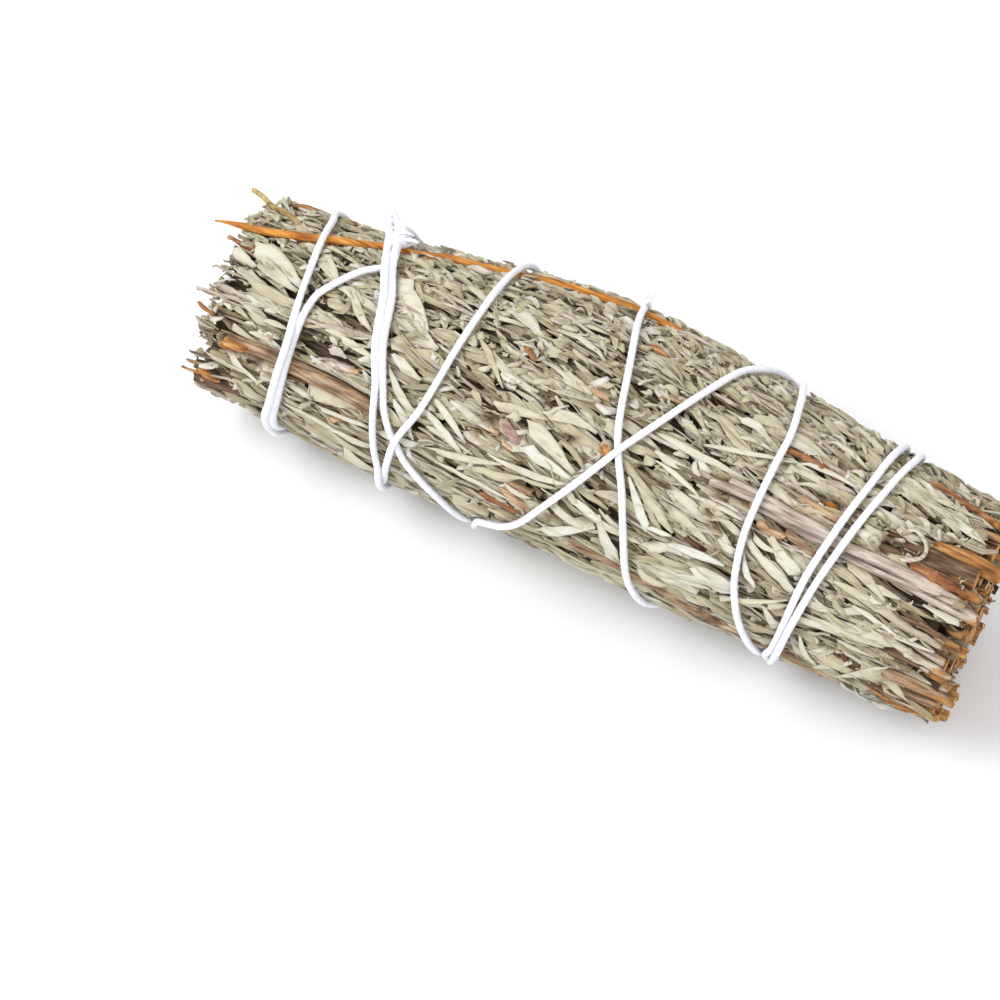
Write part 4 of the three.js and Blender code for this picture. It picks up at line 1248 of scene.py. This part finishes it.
# Broken twigs among the leaves: from (x, angle), to (x, angle), radius, top.
brokenTwigs = {
    "amberTwig": [
        (-28.9, 114.5, -27.9, 115, 0.5, -0.1), (32.0, 78, 33.6, 78, 0.42, -1.2),
    ],
    "brownBark": [
        (-51.4, 4, -46.8, 9.5, 0.25, -0.6), (-5.8, 22, -1.2, 21, 0.6, -0.4),
        (29.6, 56, 33.6, 53, 0.6, -0.3), (9.0, 86, 12.8, 88, 0.36, -0.5),
        (48.2, 44, 53.4, 40, 0.6, -0.5),
    ],
    "budSkin": [
        (-7.2, 48, -4.6, 42, 0.78, 0.05),
    ],
    "darkBark": [
        (-50.2, -9.6, -48.0, -9.4, 0.5, -0.6),
    ],
    "darkRust": [
        (18.6, 33, 21.4, 31, 0.35, -0.5), (40.4, 79, 44.0, 81, 0.54, -0.9),
        (40.0, 14, 42.0, 0, 0.54, -0.6), (-10.6, 50, -6.8, 53, 0.36, -0.7),
        (-38.8, 24, -34.4, 25, 0.42, -0.7),
    ],
    "mauveBark": [
        (-32.2, 41, -28.0, 43, 0.8, -0.3), (-49.8, 58, -40.2, 58, 0.42, -0.4),
        (-51.6, 52, -45.2, 55, 0.3, -0.3), (8.6, 68, 15.4, 68, 0.3, -0.4),
        (17.6, 73, 27.4, 78, 0.3, -0.4), (-37.0, 58, -27.2, 61, 0.36, -0.5),
        (-21.4, 90, -15.6, 88, 0.3, -0.4), (-4.8, 88, 2.6, 86, 0.3, -0.5),
        (18.2, 56, 25.2, 54, 0.3, -0.4), (34.0, 115, 39.0, 112, 0.3, -0.4),
        (29.2, 96, 35.4, 92, 0.36, -0.4), (30.6, 86, 35.0, 88, 0.42, -0.3),
        (-7.4, 106, -1.2, 100, 0.3, -0.4),
    ],
    "paleTwig": [
        (40.6, 44, 52.0, 38, 0.48, -0.3), (41.8, 34, 53.8, 24, 0.54, -0.3),
    ],
    "rustBark": [
        (-52.2, -5, -47.4, 0, 0.22, -0.7), (-50.4, -13.4, -48.2, -12, 0.6, -0.55),
        (-48.4, 144, -44.2, 138, 0.48, -0.2), (-41.8, 145, -38.6, 144, 0.42, -0.2),
        (-51.0, 86, -46.2, 84, 0.42, -0.5), (-51.0, 44, -48.6, 42, 0.3, -0.5),
        (-8.6, 82, -6.8, 77, 0.42, -0.3), (-8.0, 6, -1.8, 8, 0.48, -0.4),
        (25.6, 92, 32.4, 91, 0.54, -0.3), (44.4, 69.5, 53.4, 67, 0.72, -0.7),
        (4.6, 108, 7.4, 106, 0.36, -0.4),
    ],
    "splitWood": [
        (-46.8, 26, -43.2, 29.5, 0.5, -0.3), (-46.2, 30, -42.6, 31, 0.55, -0.25),
        (-49.4, 1, -46.8, -3, 0.72, -0.3), (44.8, -8, 52.0, -14, 0.3, -0.2),
    ],
    "tanWood": [
        (-28.2, 43, -27.2, 43, 0.52, -0.25), (-29.8, 12.5, -28.4, 14, 0.4, -0.1),
        (-8.6, 43.5, -7.4, 42, 0.34, -0.2), (-6.4, 40, -4.8, 37.5, 0.3, -0.2),
        (-5.2, 16, -1.2, 12.5, 0.5, -0.3), (26.2, 54.5, 27.6, 53, 0.62, -0.15),
        (27.4, 53, 29.4, 53.5, 0.6, -0.2), (1.0, 75, 3.7, 74, 0.55, -0.15),
        (28.6, 74, 35.2, 72, 0.54, -0.3),
    ],
}
twigs = {"size": 0.88, "sag": 0.35, "wander": 0.12, "uneven": 0.15, "sides": 9, "step": 0.45, "groove": 0.2,
         "lump": 0.35}
# A twig bent round in a loop.
twigLoop = {"radius": 0.25, "top": -0.05,
            "route": [(42.2, 80), (43.2, 84), (44.4, 82.5), (45.4, 78.5), (45.4, 74), (44.4, 70.5),
                      (43.2, 68.2)]}
# A stub that stands up between the leaves and shows its cut end: x, angle, height.
standingStub = {"radius": 0.8, "route": [(5.7, 56, -1.6), (5.9, 55, -0.8), (6.0, 54, 0.05)]}


def makeBrokenTwigs():
    rng = np.random.default_rng(740)
    meshes = []
    for wood, rows in brokenTwigs.items():
        lines, sizes = [], []
        for x0, angle0, x1, angle1, radius, top in rows:
            share = np.linspace(0, 1, max(5, int(abs(x1 - x0) * 2)))
            arch = np.sin(np.pi * share) ** 0.5
            line = onBundle(x0 + (x1 - x0) * share, angle0 + (angle1 - angle0) * share,
                            top - radius - twigs["sag"] * (1 - arch))
            lines.append(line + twigs["wander"] * wandering(rng, len(line), 5) * np.array([0, 1, 1]))
            uneven = 1 + twigs["uneven"] * rng.normal(0, 1, len(line))
            sizes.append(twigs["size"] * radius * (0.85 + 0.15 * arch) * uneven)
        meshes.append(stemMesh("twigs", lines, sizes, wood, 741, twigs["sides"], twigs["step"],
                               twigs["groove"], twigs["lump"]))
    turns = splineThrough(twigLoop["route"], 40)
    loop = onBundle(turns[:, 0], turns[:, 1], twigLoop["top"] - twigLoop["radius"])
    stub = np.array([onBundle(*place) for place in standingStub["route"]])
    meshes.append(stemMesh("loop", [loop, stub], [twigLoop["radius"], standingStub["radius"]], "paleTwig",
                           742, sides=10, step=0.4, groove=0.05, lump=0.05))
    handOver(joined("broken_twigs", meshes), "stem")


makeBrokenTwigs()
print("broken twigs: %d" % sum(len(rows) for rows in brokenTwigs.values()))

# The stems that the sprigs are bound round, one in the middle and the others in a ring.
innerStems = {"count": 6, "ring": 0.31, "share": 0.14, "angle": 20.0, "tip": -48.5, "butt": 51.0,
              "uneven": 2.5, "woods": ("mauveBark", "brownBark", "darkBark")}


def makeInnerStem(index):
    rng = np.random.default_rng(800 + index)
    ring = 0.0 if index == innerStems["count"] else innerStems["ring"]
    turn = math.radians(360 / innerStems["count"] * index + innerStems["angle"])
    tip = innerStems["tip"] - rng.random()
    xs = np.linspace(tip, innerStems["butt"] + innerStems["uneven"] * rng.random(), 60)
    radius = leafRadius(xs, 0)
    line = axisPoint(xs) + (ring * radius)[:, None] * outwards(turn)
    name = "inner_stem_%02d" % (index + 1)
    wood = innerStems["woods"][index % 3]
    mesh = stemMesh(name + "_wood", [line], [innerStems["share"] * radius], wood, 810 + index,
                    sides=16, step=1.0, groove=0.35, lump=0.4)
    handOver(linked(name + "_bark", mesh), "stem", name)


for index in range(innerStems["count"] + 1):
    makeInnerStem(index)
print("inner stems: %d" % (innerStems["count"] + 1))

# Thin stems stand close together at the butt, each cut off at its own length.
buttStems = {"at": 47.5, "inset": 1.7, "spacing": 1.75, "most": 600000.0, "seed": 8,
             "radius": (0.45, 1.35), "length": (8, 13), "lean": 0.12, "pitch": (83, 97), "rough": 0.7}


def makeCutStemTree():
    tree = Tree("cut_stems", "Stems", (
        ("Disc", "Geometry"), ("Spacing", "Float", 0.002), ("Density", "Float", 400000.0),
        ("Seed", "Int", 3), ("Bark", "Material"), ("Cut End", "Material"),
    ))
    given = tree.given
    place = tree.node("GeometryNodeInputPosition")
    points = tree.node("GeometryNodeDistributePointsOnFaces", {
        "Mesh": given["Disc"], "Distance Min": given["Spacing"], "Density Max": given["Density"],
        "Density Factor": 1.0, "Seed": given["Seed"],
    }, distribute_method="POISSON")
    stick = tree.node("GeometryNodeMeshCylinder", {
        "Vertices": 9, "Side Segments": 5, "Fill Segments": 3, "Radius": 1.0, "Depth": 1.0,
    }, fill_type="TRIANGLE_FAN")
    away = tree.node("ShaderNodeVectorMath", {0: tree.vector("MULTIPLY", place, (1, 1, 0))},
                     operation="LENGTH")
    stick = tree.store(stick, "fromPith", away.outputs["Value"], "POINT")
    facing = tree.node("ShaderNodeSeparateXYZ", {0: tree.node("GeometryNodeInputNormal")})
    isEnd = tree.compare("GREATER_THAN", facing.outputs["Z"], 0.7)
    stick = tree.paint(tree.paint(stick, "Bark"), "Cut End", Selection=isEnd)
    lean = buttStems["lean"]
    pitches = [math.radians(pitch) for pitch in buttStems["pitch"]]
    turn = tree.draw("FLOAT_VECTOR", 0, (-lean, pitches[0], -lean), (lean, pitches[1], lean))
    thick = tree.draw("FLOAT", 17, *[radius * mm for radius in buttStems["radius"]])
    long = tree.draw("FLOAT", 34, *[length * mm for length in buttStems["length"]])
    stems = tree.strew(points, stick, tree.node("FunctionNodeEulerToRotation", {0: turn}),
                       tree.node("ShaderNodeCombineXYZ", {"X": thick, "Y": thick, "Z": long}))
    stems = tree.realize(tree.store(stems, "stemTone", tree.draw("FLOAT", 51, 0.0, 1.0), "INSTANCE"))
    rough = tree.node("ShaderNodeTexNoise", {"Vector": place, "Scale": 1100.0})
    push = tree.vector("SUBTRACT", rough.outputs["Color"], (0.5, 0.5, 0.5))
    return tree.finish(tree.moved(stems, tree.vector("SCALE", push, buttStems["rough"] * mm)))


cutStemTree = makeCutStemTree()
discSides = 24


# A disc across the bundle with a pinhole in its middle, for what stands at its ends.
def crossDisc(x, inset, pinhole=0.02):
    turns = np.radians(np.arange(0, 360, 360 / discSides))
    rims = []
    for size in (pinhole, 1.0):
        radius = (leafRadius(x, np.degrees(turns)) - inset) * size
        rims.append(axisPoint(float(x)) + radius[:, None] * outwards(turns))
    mesh = bpy.data.meshes.new("disc")
    following = [(i + 1) % discSides for i in range(discSides)]
    faces = [(i, j, discSides + j, discSides + i) for i, j in enumerate(following)]
    mesh.from_pydata((np.concatenate(rims) * mm).tolist(), [], faces)
    return mesh


def keptInside(mesh, start=47.8, room=3.8):
    places = vertexArray(mesh) / mm
    places[:, 0] = withinEnds(places[:, 0], start, room)
    places[:, 2] = aboveFloor(places[:, 2])
    setVertices(mesh, places * mm)


def makeButtStems():
    mesh = grown("butt_stems", crossDisc(buttStems["at"], buttStems["inset"]), cutStemTree, {
        "Spacing": buttStems["spacing"] * mm, "Density": buttStems["most"], "Seed": buttStems["seed"],
        "Bark": looks["buttBark"], "Cut End": looks["endGrain"],
    })
    smoothFaces(mesh)
    keptInside(mesh)
    markHeight(mesh)
    handOver(linked("butt_stems", mesh), "stem")


# Stems that lie side by side under the last leaves, each cut off at the butt.
outerStems = {"count": 34, "from": (36.0, 45.0), "to": (50.8, 54.4), "radius": (0.35, 0.85),
              "top": (-1.3, -0.35), "swing": 4, "lean": (-4, 6), "sink": 1.2, "clear": 5.0,
              "seed": 90}


def makeOuterStems():
    rng = np.random.default_rng(outerStems["seed"])
    taken = [stem["route"][-1][1] for stem in bareStems.values() if stem["route"][-1][0] > 50]
    bundles = {"mauveBark": [], "brownBark": [], "paleTwig": [], "buttBark": []}
    for i in range(outerStems["count"]):
        angle = 360 / outerStems["count"] * i + rng.uniform(-outerStems["swing"], outerStems["swing"])
        radius, top = rng.uniform(*outerStems["radius"]), rng.uniform(*outerStems["top"])
        start, end = rng.uniform(*outerStems["from"]), rng.uniform(*outerStems["to"])
        lean = rng.uniform(*outerStems["lean"])
        wood = list(bundles)[int(rng.integers(4))]
        if min(abs((angle - other + 180) % 360 - 180) for other in taken) < outerStems["clear"]:
            continue
        xs = np.linspace(start, end, 24)
        share = (xs - start) / (end - start)
        line = onBundle(xs, angle + lean * (1 - share), top - radius - outerStems["sink"] * (1 - share) ** 2)
        bundles[wood].append((offFloor(line, radius), radius * (0.9 + 0.1 * share)))
    meshes = []
    for wood, stems in bundles.items():
        lines, sizes = zip(*stems)
        meshes.append(stemMesh("outer", lines, sizes, wood, 91,
                               sides=10, step=0.6, groove=0.2, lump=0.25))
    handOver(joined("outer_butt_stems", meshes), "stem")


def makeEndLeaves(name, x, layers, seed, inset=0.9):
    meshes = []
    for i, layer in enumerate(layers):
        disc = crossDisc(x + layer["shift"], inset)
        mesh = strewnMesh("layer", disc, layer, layer["perSquare"], seed + i)
        setAttribute(mesh, "height", np.full(len(mesh.vertices), layer["depth"]))
        meshes.append(mesh)
    obj = joined(name, meshes)
    keptInside(obj.data)
    handOver(obj, "leaf")


# Leaves that point out of the ends. shift is how far from the disc's place, depth the height they are given
# for the painted shade, so how dark they stay.
endColumns = ("kind", "shift", "perSquare", "roll", "pitch", "yaw", "size", "tone", "clearing",
              "combing", "depth")
tipLayers = table(endColumns, [
    ("sliver", 0.0, 0.4, (-180, 180), (-8, 8), (170, 190), (0.5, 0.8), (0.02, 0.75), 0.1, 0.3, -1.6),
    ("blade", 0.5, 0.16, (-180, 180), (-8, 8), (170, 190), (0.4, 0.7), (0.15, 0.82), 0.1, 0.3, -1.2),
    ("crumb", -1.0, 0.45, (-180, 180), (-50, 50), (130, 230), (0.7, 1.1), (0.1, 0.86), 0.3, 0.3, -1.2),
    ("stalk", 6.0, 0.1, (-180, 180), (-5, 5), (174, 186), (0.8, 1.1), (0.92, 1.0), 0.0, 0.1, -1.0),
])
buttLayers = table(endColumns, [
    ("sliver", 0.0, 0.22, (-180, 180), (-12, 12), (-12, 12), (0.7, 1.0), (0.05, 0.75), 0.35, 0.2, -1.8),
    ("crumb", 2.6, 0.25, (-180, 180), (-50, 50), (-50, 50), (0.6, 1.0), (0.05, 0.7), 0.35, 0.2, -1.6),
])
makeButtStems()
makeOuterStems()
makeEndLeaves("tip_tuft", -48.0, tipLayers, 4100)
makeEndLeaves("butt_chaff", 47.8, buttLayers, 4200)
print("both ends made")


def makeYarnTree():
    tree = Tree("twisted_yarn", "Yarn", (
        ("Path", "Geometry"), ("Radius", "Float", 0.00065), ("Ply Pitch", "Float", 0.003),
        ("Ply Depth", "Float", 0.16), ("Sides", "Int", 12), ("Material", "Material"),
    ))
    given = tree.given
    share = tree.math("DIVIDE", tree.node("GeometryNodeInputIndex"), given["Sides"])
    wave = tree.math("COSINE", tree.math("MULTIPLY", share, string["plies"] * 2 * math.pi))
    size = tree.math("ADD", tree.math("MULTIPLY", wave, given["Ply Depth"]), 0.92)
    lobes = tree.vector("SCALE", tree.node("GeometryNodeInputPosition"),
                        tree.math("MULTIPLY", size, given["Radius"]))
    section = tree.node("GeometryNodeSetPosition", {"Geometry": tree.ring(), "Position": lobes})
    along = tree.node("GeometryNodeSplineParameter").outputs["Length"]
    turns = tree.math("DIVIDE", along, given["Ply Pitch"])
    path = tree.node("GeometryNodeSetCurveTilt", {
        "Curve": given["Path"], "Tilt": tree.math("MULTIPLY", turns, 2 * math.pi),
    })
    return tree.finish(tree.paint(tree.realize(tree.tube(path, section))))


yarnTree = makeYarnTree()


def yarnMesh(name, lines, sizes):
    path = pathCurve(name, lines, [size / mm for size in sizes])
    mesh = grown(name, path, yarnTree, {
        "Radius": string["radius"] * mm, "Ply Pitch": string["plyPitch"] * mm,
        "Ply Depth": string["plyDepth"], "Sides": 10, "Material": looks["cotton"],
    })
    smoothFaces(mesh)
    return mesh


# Loose fibres of the string: the shortest as a share of the reach, and how they curl and thin out.
fibres = {"shortest": 0.6, "curl": 0.2, "scatter": 0.4, "thinner": 0.4}


def frayedEnd(start, heading, count, reach, spread, thickness, rng):
    heading = np.asarray(heading, float) / np.linalg.norm(heading)
    side = np.cross(heading, (0, 0, 1.0))
    side /= np.linalg.norm(side)
    other = np.cross(heading, side)
    lines, sizes = [], []
    for _ in range(count):
        lean = rng.normal(0, spread, 2)
        end = reach * rng.uniform(fibres["shortest"], 1.0)
        t = np.linspace(0, 1, 9)[:, None]
        away = (side * lean[0] + other * lean[1]) * end
        curl = np.sin(np.pi * t) * rng.normal(0, fibres["curl"], 3)
        root = np.asarray(start) + rng.normal(0, fibres["scatter"], 3)
        lines.append(root + heading * end * t + away * t + curl)
        sizes.append(rng.uniform(*thickness) * (1 - fibres["thinner"] * t[:, 0]))
    return lines, sizes


knot = {"x": -31.2, "angle": 118.0, "coil": (0.75, 1.1), "turns": 2.6, "rise": 0.25, "size": 0.9, "foot": 0.1,
        "climb": 0.7, "shrink": 0.3, "tufts": (1.5, 0.4)}
# The tails fray into tufts: heading, fibres, reach, how far they part, thickness.
tufts = [
    ((-0.635, 0.583, 0.506), 52, 3.1, 0.16, (0.55, 0.8)),
    ((-0.5, 0.55, 0.7), 14, 2.2, 0.2, (0.5, 0.7)),
    ((0.9, 0.42, 0.1), 8, 2.2, 0.14, (0.4, 0.6)),
]
# Fibres that have come loose where two turns cross.
looseFibres = {"at": (0.8, 136.0, 0.2), "heading": (0.1, 0.3, 1.0), "count": 6, "reach": 2.2, "spread": 0.25,
               "thickness": (0.25, 0.45)}


def knotLines(rng):
    t = np.linspace(0, 1, 60)
    around = 2 * np.pi * knot["turns"] * t
    x = knot["x"] + knot["coil"][0] * np.cos(around) * (1 - knot["shrink"] * t)
    angle = knot["angle"] + np.degrees(knot["coil"][1] * np.sin(around) / bundle["bellyRadius"])
    height = knot["foot"] + knot["rise"] * np.sin(around * 0.5) + knot["climb"] * t
    lines, sizes = [onBundle(x, angle, height)], [np.full(len(t), knot["size"])]
    aside, above = knot["tufts"]
    centre = onBundle(knot["x"], knot["angle"] + aside, above)
    for heading, count, reach, spread, thickness in tufts:
        more, moreSizes = frayedEnd(centre, heading, count, reach, spread, thickness, rng)
        lines += more
        sizes += moreSizes
    return lines, sizes


def makeString():
    rng = np.random.default_rng(61)
    size = np.full(len(stringLine), string["size"])
    for turn, low, high in string["fuller"]["at"]:
        angle = stringRoute[:, 1] + 360 * turn
        size[(angle > low) & (angle < high)] = string["fuller"]["size"]
    blend = string["blend"]
    uneven = smoothed(rng.normal(0, 1, len(stringLine)), blend["sizeUneven"])
    size = smoothed(size, blend["size"]) * (1 + string["sizeUneven"] * uneven)
    lines, sizes = knotLines(rng)
    loose = looseFibres
    looseLines, looseSizes = frayedEnd(onBundle(*loose["at"]), loose["heading"], loose["count"],
                                       loose["reach"], loose["spread"], loose["thickness"], rng)
    meshes = [yarnMesh("winding", [stringLine], [size]),
              yarnMesh("knot", lines + looseLines, sizes + looseSizes)]
    handOver(joined("cotton_string", meshes), "string", "string")


makeString()
print("string made")

studio = {
    "floorColour": (0.82, 0.82, 0.83, 1),
    "floorRoughness": 0.7,
    "skyStrength": 0.94,
    # name, place in metres, size, power
    "lamps": [("key", (-0.55, -0.35, 0.9), 0.6, 8.0), ("fill", (0.7, -0.7, 0.6), 0.8, 3.0)],
    "lampsAimedAt": (0, 0, 0.015),
    "azimuth": 27.4,
    "elevation": 58.0,
    "lens": 100.0,
    "distance": 350.0,
    "centre": (0.0, 0.0, 16.0),
    "offset": (94.0, 67.0),  # the bundle's middle, right of and above the render's, in pixels
    "renderWidth": 1000,
    "sensorWidth": 36,
}


def makeStudio():
    scene = bpy.context.scene
    scene.view_settings.view_transform = "Standard"
    bpy.ops.mesh.primitive_plane_add(size=4, location=(0, 0, 0))
    floor = bpy.context.object
    floor.name = "studio_floor"
    look = Look("pale_floor", **{"Base Color": studio["floorColour"], "Roughness": studio["floorRoughness"]})
    floor.data.materials.append(look.material)
    world = bpy.data.worlds.new("studio_sky")
    world.use_nodes = True
    sky = world.node_tree.nodes["Background"].inputs
    sky[0].default_value = (1, 1, 1, 1)
    sky[1].default_value = studio["skyStrength"]
    scene.world = world
    for name, place, size, power in studio["lamps"]:
        lamp = bpy.data.lights.new(name, "AREA")
        lamp.size = size
        lamp.energy = power
        obj = linked(name + "_lamp", lamp)
        obj.location = place
        aim = Vector(studio["lampsAimedAt"]) - Vector(place)
        obj.rotation_euler = aim.to_track_quat("-Z", "Y").to_euler()


def makeCamera():
    azimuth, elevation = math.radians(studio["azimuth"]), math.radians(studio["elevation"])
    back = Vector((math.sin(azimuth) * math.cos(elevation), -math.cos(azimuth) * math.cos(elevation),
                   math.sin(elevation)))
    right = Vector((math.cos(azimuth), math.sin(azimuth), 0))
    up = back.cross(right)
    perPixel = studio["sensorWidth"] / studio["renderWidth"] / studio["lens"] * studio["distance"]
    place = Vector(studio["centre"]) + back * studio["distance"]
    place -= (right * studio["offset"][0] + up * studio["offset"][1]) * perPixel
    data = bpy.data.cameras.new("camera")
    data.lens = studio["lens"]
    data.sensor_width = studio["sensorWidth"]
    camera = linked("camera", data)
    camera.location = place * mm
    camera.rotation_mode = "QUATERNION"
    camera.rotation_quaternion = (-back).to_track_quat("-Z", "Y")
    bpy.context.scene.camera = camera


makeStudio()
makeCamera()
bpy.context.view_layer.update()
counts = {o.name: sum(len(p.vertices) - 2 for p in o.data.polygons)
          for o in bpy.context.scene.objects if o.type == "MESH"}
print("triangles: %d, most %s" % (sum(counts.values()), max(counts.items(), key=lambda c: c[1])))
print("studio and camera set")
